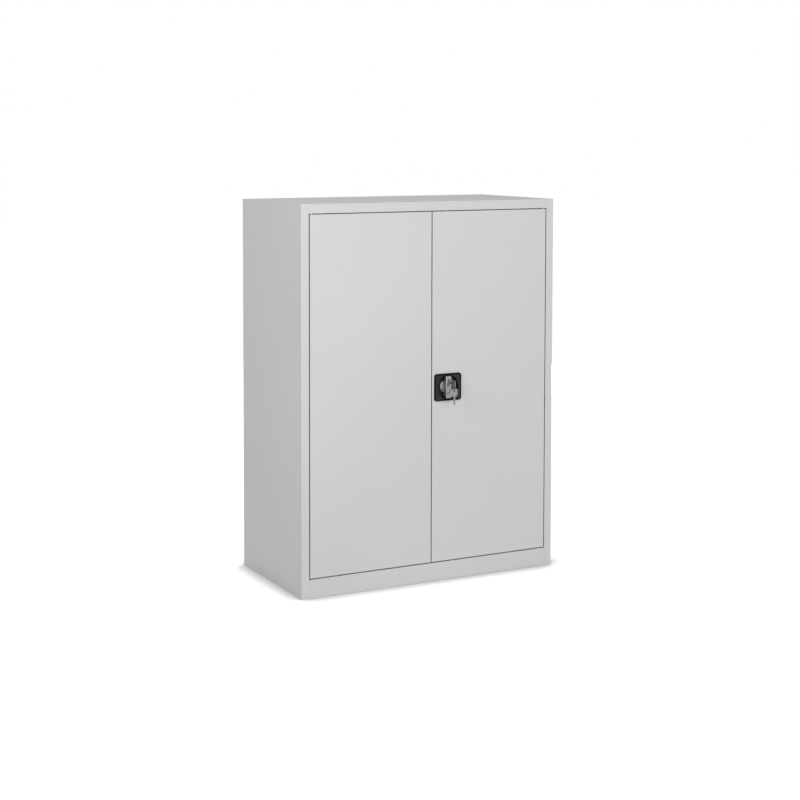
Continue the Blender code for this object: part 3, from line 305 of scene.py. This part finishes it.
def makeShadedPlateRim(look):
    material, tree, shader = startMaterial("shadedBlackPlateRim", 0.45)
    shader.inputs["Specular IOR Level"].default_value = look["specular"]
    place = objectPlace(tree)
    grain = addNoise(tree, place, *look["grain"])
    tree.links.new(tint(tree, grain, look["darkColour"], look["lightColour"]), shader.inputs["Base Color"])
    tree.links.new(spread(tree, grain, *look["roughness"]), shader.inputs["Roughness"])
    roundedNormal(tree, shader, grain, look["grainStrength"], look["grainDepth"], 0)
    return material


rubberLook = {
    "darkColour": (0.018, 0.018, 0.018),
    "lightColour": (0.035, 0.034, 0.033),
    "roughness": (0.7, 0.9),
    "cloud": (150.0, 2.0),
    "grain": (1200.0, 3.0),
    "grainStrength": 0.4,
    "grainDepth": 0.0001,
    "edge": 0.0004,
}


def makeRubber(look):
    material, tree, shader = startMaterial("bufferRubber", 0.8)
    place = objectPlace(tree)
    grain = addNoise(tree, place, *look["grain"])
    clouds = addNoise(tree, place, *look["cloud"])
    tree.links.new(tint(tree, clouds, look["darkColour"], look["lightColour"]), shader.inputs["Base Color"])
    tree.links.new(spread(tree, grain, *look["roughness"]), shader.inputs["Roughness"])
    roundedNormal(tree, shader, grain, look["grainStrength"], look["grainDepth"], look["edge"])
    return material


powderCoat = makePowderCoat(powderCoatLook)
zincPlate = makeZinc(zincLook)
satinNickel = makeNickel(nickelLook, "satinNickel", nickelLook["streakStretch"])
keyNickel = makeNickel(nickelLook, "keyNickel", nickelLook["keyStretch"], nickelLook["keyTone"])
blackPlastic = makeBlackPlastic(blackPlasticLook)
shadedBlackRim = makeShadedPlateRim(shadedRimLook)
bufferRubber = makeRubber(rubberLook)
print("stage 2: the materials are made")


# dressing the steel pieces that stay as they are

slotMaterials = {
    "grey_paint": powderCoat,
    "zinc_plate": zincPlate,
    "satin_nickel": satinNickel,
    "black_plastic": blackPlastic,
    "bush_plastic": blackPlastic,
    "buffer_rubber": bufferRubber,
}
slotOfNode = {part["node"]: part["material_slot"] for part in frame["record"]["subparts"]}
for nodeName, node in nodes.items():
    node.data.materials.clear()
    node.data.materials.append(slotMaterials[slotOfNode[nodeName]])
print("stage 3: the steel pieces are dressed")


# mesh helpers


def addPiece(name, shape, material, body, smoothAngle):
    mesh = bpy.data.meshes.new(name)
    bmesh.ops.recalc_face_normals(shape, faces=shape.faces)
    shape.to_mesh(mesh)
    shape.free()
    piece = bpy.data.objects.new(name, mesh)
    bpy.context.scene.collection.objects.link(piece)
    mesh.shade_smooth()
    mesh.set_sharp_from_angle(angle=math.radians(smoothAngle))
    mesh.materials.append(material)
    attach(piece, body)
    return piece


def bridgeLoops(shape, loops, closeEnds=False, joinEnds=False):
    # loops of points with one count each, bridged in turn with quads
    rings = [[shape.verts.new(point) for point in loop] for loop in loops]
    pairs = list(zip(rings, rings[1:]))
    if joinEnds:
        pairs.append((rings[-1], rings[0]))
    for first, second in pairs:
        for i in range(len(first)):
            j = (i + 1) % len(first)
            shape.faces.new((first[i], first[j], second[j], second[i]))
    if closeEnds:
        shape.faces.new(rings[0])
        shape.faces.new(rings[-1])


def carve(piece, shape, name):
    # cuts a closed shape out of a piece and throws the shape away
    mesh = bpy.data.meshes.new(name)
    shape.to_mesh(mesh)
    shape.free()
    cutter = bpy.data.objects.new(name, mesh)
    bpy.context.scene.collection.objects.link(cutter)
    change = piece.modifiers.new(name, "BOOLEAN")
    change.operation = "DIFFERENCE"
    change.solver = "EXACT"
    change.object = cutter
    carved = piece.evaluated_get(bpy.context.evaluated_depsgraph_get())
    applied = bpy.data.meshes.new_from_object(carved)
    piece.modifiers.clear()
    piece.data = applied
    bpy.data.objects.remove(cutter)


def roundLoop(radius, y, centreZ, steps):
    # a circle square to the door, at a depth y
    turns = [2 * math.pi * i / steps for i in range(steps)]
    return [(lockX + radius * math.cos(a), y, centreZ + radius * math.sin(a)) for a in turns]


def filletProfile(corner, fromAngle, toAngle, radius, steps):
    # points of a round corner in a section of (radius, depth)
    points = []
    for i in range(steps + 1):
        angle = math.radians(fromAngle + (toAngle - fromAngle) * i / steps)
        points.append((corner[0] + radius * math.cos(angle), corner[1] + radius * math.sin(angle)))
    return points


# the black plate with its dish

plateShape = {
    "corner": 0.008,
    "rimWidth": 0.0042,
    "rimRise": 0.0010,
    "rimFoot": (0.0008, 0.0001),  # how wide and how deep the rim's inner foot is
    "edgeRound": 0.0007,
    "leastCorner": 0.0012,
    "seatDepth": 0.0003,  # the plate stands this far off the door's face
    "dishRadius": 0.0385,
    "dishFoot": 0.004,
    "dishDepth": 0.016,  # behind the door's face
    "lipRound": 0.0012,
    "wall": 0.0015,
    "eyeRadius": 0.008,
    "cornerSteps": 10,
    "sideSteps": 16,
    "lipSteps": 5,
    "footSteps": 6,
    "rimLoops": 7,  # how many strips from the outline inwards are rim
    "smoothAngle": 50,
}
chamferShare = 0.3  # where a round edge's middle point lies, as a share of its radius


def plateLoop(inset, y, shapeOfPlate):
    # the plate's outline, moved in by an inset, with the same count of points for every inset
    halfWidth = (plateHigh[0] - plateLow[0]) / 2 - inset
    halfHeight = (plateHigh[2] - plateLow[2]) / 2 - inset
    corner = max(shapeOfPlate["corner"] - inset, shapeOfPlate["leastCorner"])
    loop = []
    cornerSteps = shapeOfPlate["cornerSteps"]
    sideSteps = shapeOfPlate["sideSteps"]
    middles = []
    for quarter, (sideX, sideZ) in enumerate(((1, 1), (-1, 1), (-1, -1), (1, -1))):
        middles.append((sideX * (halfWidth - corner), sideZ * (halfHeight - corner), 90 * quarter))
    for i, (middleX, middleZ, startAngle) in enumerate(middles):
        for step in range(cornerSteps + 1):
            angle = math.radians(startAngle + 90 * step / cornerSteps)
            loop.append((middleX + corner * math.cos(angle), middleZ + corner * math.sin(angle)))
        nextX, nextZ, nextAngle = middles[(i + 1) % 4]
        angle = math.radians(nextAngle)
        endX = nextX + corner * math.cos(angle)
        endZ = nextZ + corner * math.sin(angle)
        startX, startZ = loop[-1]
        for step in range(1, sideSteps):
            share = step / sideSteps
            loop.append((startX + (endX - startX) * share, startZ + (endZ - startZ) * share))
    return [(lockX + x, y, lockZ + z) for x, z in loop]


def dishLoop(radius, y, outline):
    # a circle whose points lie on the same rays as the plate's outline
    loop = []
    for x, _, z in outline:
        ray = Vector((x - lockX, z - lockZ)).normalized()
        loop.append((lockX + ray.x * radius, y, lockZ + ray.y * radius))
    return loop


def makePlate(look):
    rimY = plateLow[1]
    faceY = rimY + look["rimRise"]
    seatY = doorFaceY - look["seatDepth"]
    floorY = doorFaceY + look["dishDepth"]
    backY = floorY + look["wall"]
    edge = look["edgeRound"]
    chamfer = edge * chamferShare
    footWidth, footDepth = look["rimFoot"]
    outline = plateLoop(0, seatY, look)
    loops = [outline]
    for inset, y in ((0, rimY + edge), (chamfer, rimY + chamfer), (edge, rimY)):
        loops.append(plateLoop(inset, y, look))
    rim = look["rimWidth"]
    for inset, y in (
        (rim - edge, rimY),
        (rim - chamfer, rimY + chamfer),
        (rim, rimY + edge),
        (rim + footWidth / 4, faceY - footDepth),
        (rim + footWidth, faceY),
    ):
        loops.append(plateLoop(inset, y, look))
    lip = look["lipRound"]
    lipMiddle = (look["dishRadius"] + lip, faceY + lip)
    for radius, y in filletProfile(lipMiddle, 270, 180, lip, look["lipSteps"]):
        loops.append(dishLoop(radius, y, outline))
    foot = look["dishFoot"]
    footMiddle = (look["dishRadius"] - foot, floorY - foot)
    for radius, y in filletProfile(footMiddle, 0, 90, foot, look["footSteps"]):
        loops.append(dishLoop(radius, y, outline))
    loops.append(dishLoop(look["eyeRadius"], floorY, outline))
    loops.append(dishLoop(look["eyeRadius"], backY, outline))
    loops.append(dishLoop(look["dishRadius"] + look["wall"], backY, outline))
    loops.append(dishLoop(look["dishRadius"] + look["wall"], seatY, outline))
    shape = bmesh.new()
    bridgeLoops(shape, loops, joinEnds=True)
    shape.faces.ensure_lookup_table()
    # the rim's strips take the darker copy of the plastic, a painted shade
    for face in shape.faces[: look["rimLoops"] * len(outline)]:
        face.material_index = 1
    plate = addPiece("lockPlate", shape, blackPlastic, "right_door", look["smoothAngle"])
    plate.data.materials.append(shadedBlackRim)
    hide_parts("lock_escutcheon")
    return plate


makePlate(plateShape)
print("stage 4: the lock plate is made")


# the turning knob

knobShape = {
    "discRadius": 0.020,
    "discThickness": 0.005,
    "discEdge": 0.0012,
    "discDraft": 0.2,
    "discRings": (0.6, 0.2),
    "discSink": 0.3,  # how far the grip reaches into the disc, as a share of its thickness
    "gripWidth": 0.0188,
    "footLength": 0.038,
    "gripEdge": 0.0019,
    "endFlat": 0.0035,
    "boreRadius": 0.0063,
    "boreReach": (-0.004, 0.014),
    "discSteps": 96,
    "edgeSteps": 5,
    "boreSteps": 48,
    "discSmoothAngle": 40,
    "gripSmoothAngle": 30,
}


def makeKnobDisc(look):
    backY = knobHigh[1]
    frontY = backY - look["discThickness"]
    radius = look["discRadius"]
    edge = look["discEdge"]
    section = [(radius - edge * look["discDraft"], backY)]
    section += filletProfile((radius - edge, frontY + edge), 0, -90, edge, look["edgeSteps"])
    section += [(radius * share, frontY) for share in look["discRings"]]
    shape = bmesh.new()
    bridgeLoops(shape, [roundLoop(r, y, lockZ, look["discSteps"]) for r, y in section], closeEnds=True)
    disc = addPiece("knobDisc", shape, satinNickel, "handle", look["discSmoothAngle"])
    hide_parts("turning_knob")
    return disc


def makeGrip(look):
    # a bar whose ends slope back to the disc, with a short flat at each tip
    frontY = knobLow[1]
    backY = knobHigh[1] - look["discThickness"] * (1 - look["discSink"])
    halfTip = (knobHigh[2] - knobLow[2]) / 2
    halfFoot = look["footLength"] / 2
    flat = look["endFlat"]
    half = look["gripWidth"] / 2
    outline = [
        (frontY, -halfTip),
        (frontY, halfTip),
        (frontY + flat, halfTip),
        (backY, halfFoot),
        (backY, -halfFoot),
        (frontY + flat, -halfTip),
    ]
    shape = bmesh.new()
    sides = []
    for x in (-half, half):
        sides.append([shape.verts.new((lockX + x, y, lockZ + z)) for y, z in outline])
    shape.faces.new(sides[0])
    shape.faces.new(sides[1][::-1])
    for i in range(len(outline)):
        j = (i + 1) % len(outline)
        shape.faces.new((sides[0][i], sides[1][i], sides[1][j], sides[0][j]))
    bmesh.ops.bevel(
        shape,
        geom=list(shape.edges),
        offset=look["gripEdge"],
        segments=look["edgeSteps"],
        profile=0.5,
        affect="EDGES",
        clamp_overlap=True,
    )
    grip = addPiece("knobGrip", shape, satinNickel, "handle", look["gripSmoothAngle"])
    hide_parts("turning_knob")
    boreShape = bmesh.new()
    boreEnds = []
    for y in look["boreReach"]:
        boreEnds.append(roundLoop(look["boreRadius"], frontY + y, cylinderZ, look["boreSteps"]))
    bridgeLoops(boreShape, boreEnds, closeEnds=True)
    bmesh.ops.recalc_face_normals(boreShape, faces=boreShape.faces)
    carve(grip, boreShape, "cylinderBore")
    return grip


makeKnobDisc(knobShape)
makeGrip(knobShape)
print("stage 5: the knob is made")


# the cylinder and its plug

cylinderShape = {
    "flangeRadius": 0.0074,
    "flangeGap": 0.0003,
    "flangeRise": 0.0010,
    "flangeEdge": 0.0005,
    "bodyRadius": 0.0060,
    "bore": 0.0048,
    "boreEdge": 0.0003,
    "length": 0.016,
    "roundSteps": 64,
    "edgeSteps": 4,
    "smoothAngle": 35,
}
plugShape = {
    "radius": 0.0045,
    "edge": 0.0004,
    "slotWidth": 0.0026,
    "slotHeight": 0.0066,
    "slotDepth": 0.0155,
    "roundSteps": 48,
    "smoothAngle": 35,
}


def makeCylinder(look):
    seatY = knobLow[1] - look["flangeGap"]
    frontY = seatY - look["flangeRise"]
    edge = look["flangeEdge"]
    lip = look["boreEdge"]
    section = [(look["bore"], seatY + look["length"]), (look["bore"], frontY + lip)]
    section += [(look["bore"] + lip, frontY)]
    section += filletProfile((look["flangeRadius"] - edge, frontY + edge), -90, 0, edge, look["edgeSteps"])
    section += [(look["flangeRadius"], seatY), (look["bodyRadius"], seatY)]
    section += [(look["bodyRadius"], seatY + look["length"])]
    shape = bmesh.new()
    bridgeLoops(shape, [roundLoop(r, y, cylinderZ, look["roundSteps"]) for r, y in section], joinEnds=True)
    cylinder = addPiece("lockBarrel", shape, keyNickel, "handle", look["smoothAngle"])
    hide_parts("lock_cylinder")
    return cylinder


def makePlug(look):
    frontY = plugLow[1]
    backY = plugHigh[1]
    edge = look["edge"]
    section = [(look["radius"] - edge, frontY), (look["radius"], frontY + edge), (look["radius"], backY)]
    shape = bmesh.new()
    bridgeLoops(shape, [roundLoop(r, y, cylinderZ, look["roundSteps"]) for r, y in section], closeEnds=True)
    plug = addPiece("keyPlug", shape, keyNickel, "key_plug", look["smoothAngle"])
    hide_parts("cylinder_plug")
    slotShape = bmesh.new()
    bmesh.ops.create_cube(slotShape, size=1)
    size = Vector((look["slotWidth"], 2 * look["slotDepth"], look["slotHeight"]))
    bmesh.ops.scale(slotShape, vec=size, verts=slotShape.verts)
    bmesh.ops.translate(slotShape, vec=(lockX, frontY, cylinderZ), verts=slotShape.verts)
    carve(plug, slotShape, "keySlot")
    return plug


makeCylinder(cylinderShape)
makePlug(plugShape)
print("stage 6: the cylinder is made")


# the keys and their ring

keyShape = {
    "bladeWidth": 0.006,
    "bladeLength": 0.0265,
    "tipTrim": 0.0025,  # the blade ends this much short of the solid key
    "bowLength": 0.024,
    "bowWidth": 0.022,
    "shoulder": 0.005,
    "endCut": 0.0025,
    "holeRadius": 0.003,
    "holeInset": 0.006,
    "notchShares": (0.5, 1.0, 0.35, 0.8),
    "notchDepth": 0.0014,
    "notchMouth": 0.45,  # half a notch's mouth and floor, as shares of its pitch
    "notchFloor": 0.1,
    "tipShare": 0.4,
    "weldDistance": 0.000005,
    "thickness": 0.002,
    "edge": 0.00025,
    "edgeSteps": 2,
    "holeSteps": 32,
    "smoothAngle": 30,
}


def keyOutline(look):
    half = look["bladeWidth"] / 2
    wide = look["bowWidth"] / 2
    blade = look["bladeLength"]
    end = blade + look["bowLength"]
    points = [(0, -half / 2), (half / 2, -half), (blade, -half), (blade, half / 2 - wide)]
    points += [(blade + look["shoulder"], -wide), (end - look["endCut"], -wide), (end, look["endCut"] - wide)]
    points += [(end, wide - look["endCut"]), (end - look["endCut"], wide), (blade + look["shoulder"], wide)]
    points += [(blade, wide - half / 2), (blade, half)]
    count = len(look["notchShares"])
    step = blade / (count + 2)
    mouth = step * look["notchMouth"]
    floor = step * look["notchFloor"]
    for number in range(count, 0, -1):
        middle = number * step
        depth = look["notchDepth"] * look["notchShares"][number - 1]
        points += [(middle + mouth, half), (middle + floor, half - depth)]
        points += [(middle - floor, half - depth), (middle - mouth, half)]
    points += [(step * look["tipShare"], half), (0, half / 2)]
    return points


def roundHole(radius, centre, steps):
    turns = [-2 * math.pi * i / steps for i in range(steps)]
    return [(centre[0] + radius * math.cos(a), centre[1] + radius * math.sin(a)) for a in turns]


def makeKey(name, look, turn, place, body, nodeName):
    # the outline is a flat curve with rounded edges, made into a mesh and laid in place
    end = look["bladeLength"] + look["bowLength"]
    hole = roundHole(look["holeRadius"], (end - look["holeInset"], 0), look["holeSteps"])
    curve = bpy.data.curves.new(name + "Outline", "CURVE")
    curve.dimensions = "2D"
    curve.fill_mode = "BOTH"
    curve.extrude = look["thickness"] / 2 - look["edge"]
    curve.bevel_depth = look["edge"]
    curve.bevel_resolution = look["edgeSteps"]
    curve.offset = -look["edge"]
    for outline in (keyOutline(look), hole):
        spline = curve.splines.new("POLY")
        spline.points.add(len(outline) - 1)
        for point, (along, across) in zip(spline.points, outline):
            point.co = (along, across, 0, 1)
        spline.use_cyclic_u = True
    guide = bpy.data.objects.new(name + "Outline", curve)
    bpy.context.scene.collection.objects.link(guide)
    flat = bpy.data.meshes.new_from_object(guide.evaluated_get(bpy.context.evaluated_depsgraph_get()))
    bpy.data.objects.remove(guide)
    shape = bmesh.new()
    shape.from_mesh(flat)
    bmesh.ops.remove_doubles(shape, verts=shape.verts, dist=look["weldDistance"])
    setting = Matrix.Translation(place) @ turn.to_4x4()
    bmesh.ops.transform(shape, matrix=setting, verts=shape.verts)
    key = addPiece(name, shape, keyNickel, body, look["smoothAngle"])
    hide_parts(nodeName)
    return key


# along the key is -Y for the one in the lock and +Z for the one that hangs
keyInLockTurn = Matrix(((0, 0, 1), (-1, 0, 0), (0, 1, 0)))
hangingKeyTurn = Matrix(((0, 1, 0), (0, 0, 1), (1, 0, 0)))
keyTip = Vector((lockX, keyBackY - keyShape["tipTrim"], cylinderZ))
makeKey("lockKey", keyShape, keyInLockTurn, keyTip, "key_plug", "key")
spareTip = Vector((lockX, (spareLow[1] + spareHigh[1]) / 2, spareLow[2] + keyShape["tipTrim"]))
makeKey("spareKey", keyShape, hangingKeyTurn, spareTip, "spare", "spare_key")

ringShape = {
    "wire": 0.0008,
    "turn": math.radians(45),
    "around": 72,
    "across": 14,
    "smoothAngle": 80,
}


def makeRing(look):
    middle = (Vector(ringLow) + Vector(ringHigh)) / 2
    radius = (ringHigh[2] - ringLow[2]) / 2 - look["wire"]
    outward = Vector((math.sin(look["turn"]), math.cos(look["turn"]), 0))
    side = Vector((outward.y, -outward.x, 0))
    loops = []
    for i in range(look["around"]):
        angle = 2 * math.pi * i / look["around"]
        ray = outward * math.cos(angle) + Vector((0, 0, 1)) * math.sin(angle)
        loop = []
        for j in range(look["across"]):
            turn = 2 * math.pi * j / look["across"]
            offset = ray * (radius + look["wire"] * math.cos(turn)) + side * (look["wire"] * math.sin(turn))
            loop.append(middle + offset)
        loops.append(loop)
    shape = bmesh.new()
    bridgeLoops(shape, loops, joinEnds=True)
    ring = addPiece("keyRing", shape, keyNickel, "ring", look["smoothAngle"])
    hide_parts("key_ring")
    return ring


makeRing(ringShape)
print("stage 7: the keys hang in the lock")


# floor, light and camera

floorLook = {
    "size": 40.0,
    "bounceColour": 0.34,
    "seenColour": 0.50,
    "lift": 0.9,
    "contactSamples": 16,
    "contactOpenness": (0.5, 0.97),
    "contactReach": 0.09,
    "contactShade": 0.17,
}


def seenRay(tree):
    # one for a ray that shows a surface, straight or in metal or glass, and nought for light
    path = tree.nodes.new("ShaderNodeLightPath")
    either = tree.nodes.new("ShaderNodeMath")
    either.operation = "MAXIMUM"
    tree.links.new(path.outputs["Is Camera Ray"], either.inputs[0])
    tree.links.new(path.outputs["Is Glossy Ray"], either.inputs[1])
    anyOfThree = tree.nodes.new("ShaderNodeMath")
    anyOfThree.operation = "MAXIMUM"
    tree.links.new(either.outputs["Value"], anyOfThree.inputs[0])
    tree.links.new(path.outputs["Is Transmission Ray"], anyOfThree.inputs[1])
    return anyOfThree.outputs["Value"]


def makeFloor(look):
    shape = bmesh.new()
    bmesh.ops.create_grid(shape, x_segments=1, y_segments=1, size=look["size"] / 2)
    mesh = bpy.data.meshes.new("studioFloor")
    shape.to_mesh(mesh)
    shape.free()
    floor = bpy.data.objects.new("studioFloor", mesh)
    bpy.context.scene.collection.objects.link(floor)
    material = bpy.data.materials.new("paleFloor")
    material.use_nodes = True
    tree = material.node_tree
    tree.nodes.clear()
    output = tree.nodes.new("ShaderNodeOutputMaterial")
    choose = tree.nodes.new("ShaderNodeMixShader")
    bounce = tree.nodes.new("ShaderNodeBsdfDiffuse")
    bounce.inputs["Color"].default_value = (look["bounceColour"],) * 3 + (1,)
    seen = tree.nodes.new("ShaderNodeBsdfDiffuse")
    seen.inputs["Color"].default_value = (look["seenColour"],) * 3 + (1,)
    lift = tree.nodes.new("ShaderNodeEmission")
    # painted shadow: the floor's lift dims in a narrow band where the cupboard stands on it
    occlusion = tree.nodes.new("ShaderNodeAmbientOcclusion")
    occlusion.samples = look["contactSamples"]
    occlusion.inputs["Distance"].default_value = look["contactReach"]
    openness = tree.nodes.new("ShaderNodeMapRange")
    openness.inputs["From Min"].default_value = look["contactOpenness"][0]
    openness.inputs["From Max"].default_value = look["contactOpenness"][1]
    openness.inputs["To Min"].default_value = look["lift"] * look["contactShade"]
    openness.inputs["To Max"].default_value = look["lift"]
    tree.links.new(occlusion.outputs["AO"], openness.inputs["Value"])
    tree.links.new(openness.outputs["Result"], lift.inputs["Strength"])
    both = tree.nodes.new("ShaderNodeAddShader")
    tree.links.new(seen.outputs["BSDF"], both.inputs[0])
    tree.links.new(lift.outputs["Emission"], both.inputs[1])
    tree.links.new(seenRay(tree), choose.inputs["Fac"])
    tree.links.new(bounce.outputs["BSDF"], choose.inputs[1])
    tree.links.new(both.outputs["Shader"], choose.inputs[2])
    tree.links.new(choose.outputs["Shader"], output.inputs["Surface"])
    mesh.materials.append(material)


roomAmbient = 0.24
cupboardMiddle = (0, 0, 0.6)
softboxes = {
    "frontSoftbox": {"place": (0.3, -5.0, 1.6), "size": 2.2, "power": 137.0},
    "sideSoftbox": {"place": (-4.2, -1.7, 2.9), "size": 2.2, "power": 128.0},
    # a fill for the back, below the top so that the top has no glare
    "backSoftbox": {"place": (2.8, 3.8, 0.6), "size": 1.0, "power": 90.0},
}


def makeWorld(ambient):
    world = bpy.data.worlds.new("paleRoom")
    world.use_nodes = True
    tree = world.node_tree
    tree.nodes.clear()
    output = tree.nodes.new("ShaderNodeOutputWorld")
    white = tree.nodes.new("ShaderNodeBackground")
    white.inputs["Color"].default_value = (1, 1, 1, 1)
    room = tree.nodes.new("ShaderNodeBackground")
    room.inputs["Color"].default_value = (1, 1, 1, 1)
    room.inputs["Strength"].default_value = ambient
    choose = tree.nodes.new("ShaderNodeMixShader")
    tree.links.new(seenRay(tree), choose.inputs["Fac"])
    tree.links.new(room.outputs["Background"], choose.inputs[1])
    tree.links.new(white.outputs["Background"], choose.inputs[2])
    tree.links.new(choose.outputs["Shader"], output.inputs["Surface"])
    bpy.context.scene.world = world


def addSoftbox(name, look, target):
    light = bpy.data.lights.new(name, "AREA")
    light.shape = "SQUARE"
    light.size = look["size"]
    light.energy = look["power"]
    lamp = bpy.data.objects.new(name, light)
    lamp.location = look["place"]
    aim = Vector(target) - Vector(look["place"])
    lamp.rotation_euler = aim.to_track_quat("-Z", "Y").to_euler()
    bpy.context.scene.collection.objects.link(lamp)
    return lamp


makeFloor(floorLook)
makeWorld(roomAmbient)
for softboxName, softboxLook in softboxes.items():
    addSoftbox(softboxName, softboxLook, cupboardMiddle)

cameraView = {
    "focalPixels": 1580.0,
    "framePixels": 800.0,
    "axisPixel": (350.0, 228.0),  # where the optical axis meets the frame
    "fromFrontCorner": (-1.980, -4.275, 1.401),  # from the carcass's front left foot
    "yaw": 26.63,
    "pitch": 3.31,
    "sensor": 36.0,
    "farClip": 100,
}


def makeCamera(look):
    camera = bpy.data.cameras.new("photoCamera")
    camera.sensor_width = look["sensor"]
    camera.lens = look["focalPixels"] / look["framePixels"] * look["sensor"]
    camera.shift_x = 0.5 - look["axisPixel"][0] / look["framePixels"]
    camera.shift_y = look["axisPixel"][1] / look["framePixels"] - 0.5
    camera.clip_end = look["farClip"]
    stand = bpy.data.objects.new("photoCamera", camera)
    frontCorner = Vector(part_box("left_side_panel")[0])
    stand.location = frontCorner + Vector(look["fromFrontCorner"])
    stand.rotation_euler = (math.radians(90 - look["pitch"]), 0, math.radians(-look["yaw"]))
    bpy.context.scene.collection.objects.link(stand)
    bpy.context.scene.camera = stand


makeCamera(cameraView)
bpy.context.scene.view_settings.view_transform = "Standard"
print("stage 8: floor, light and camera are set")
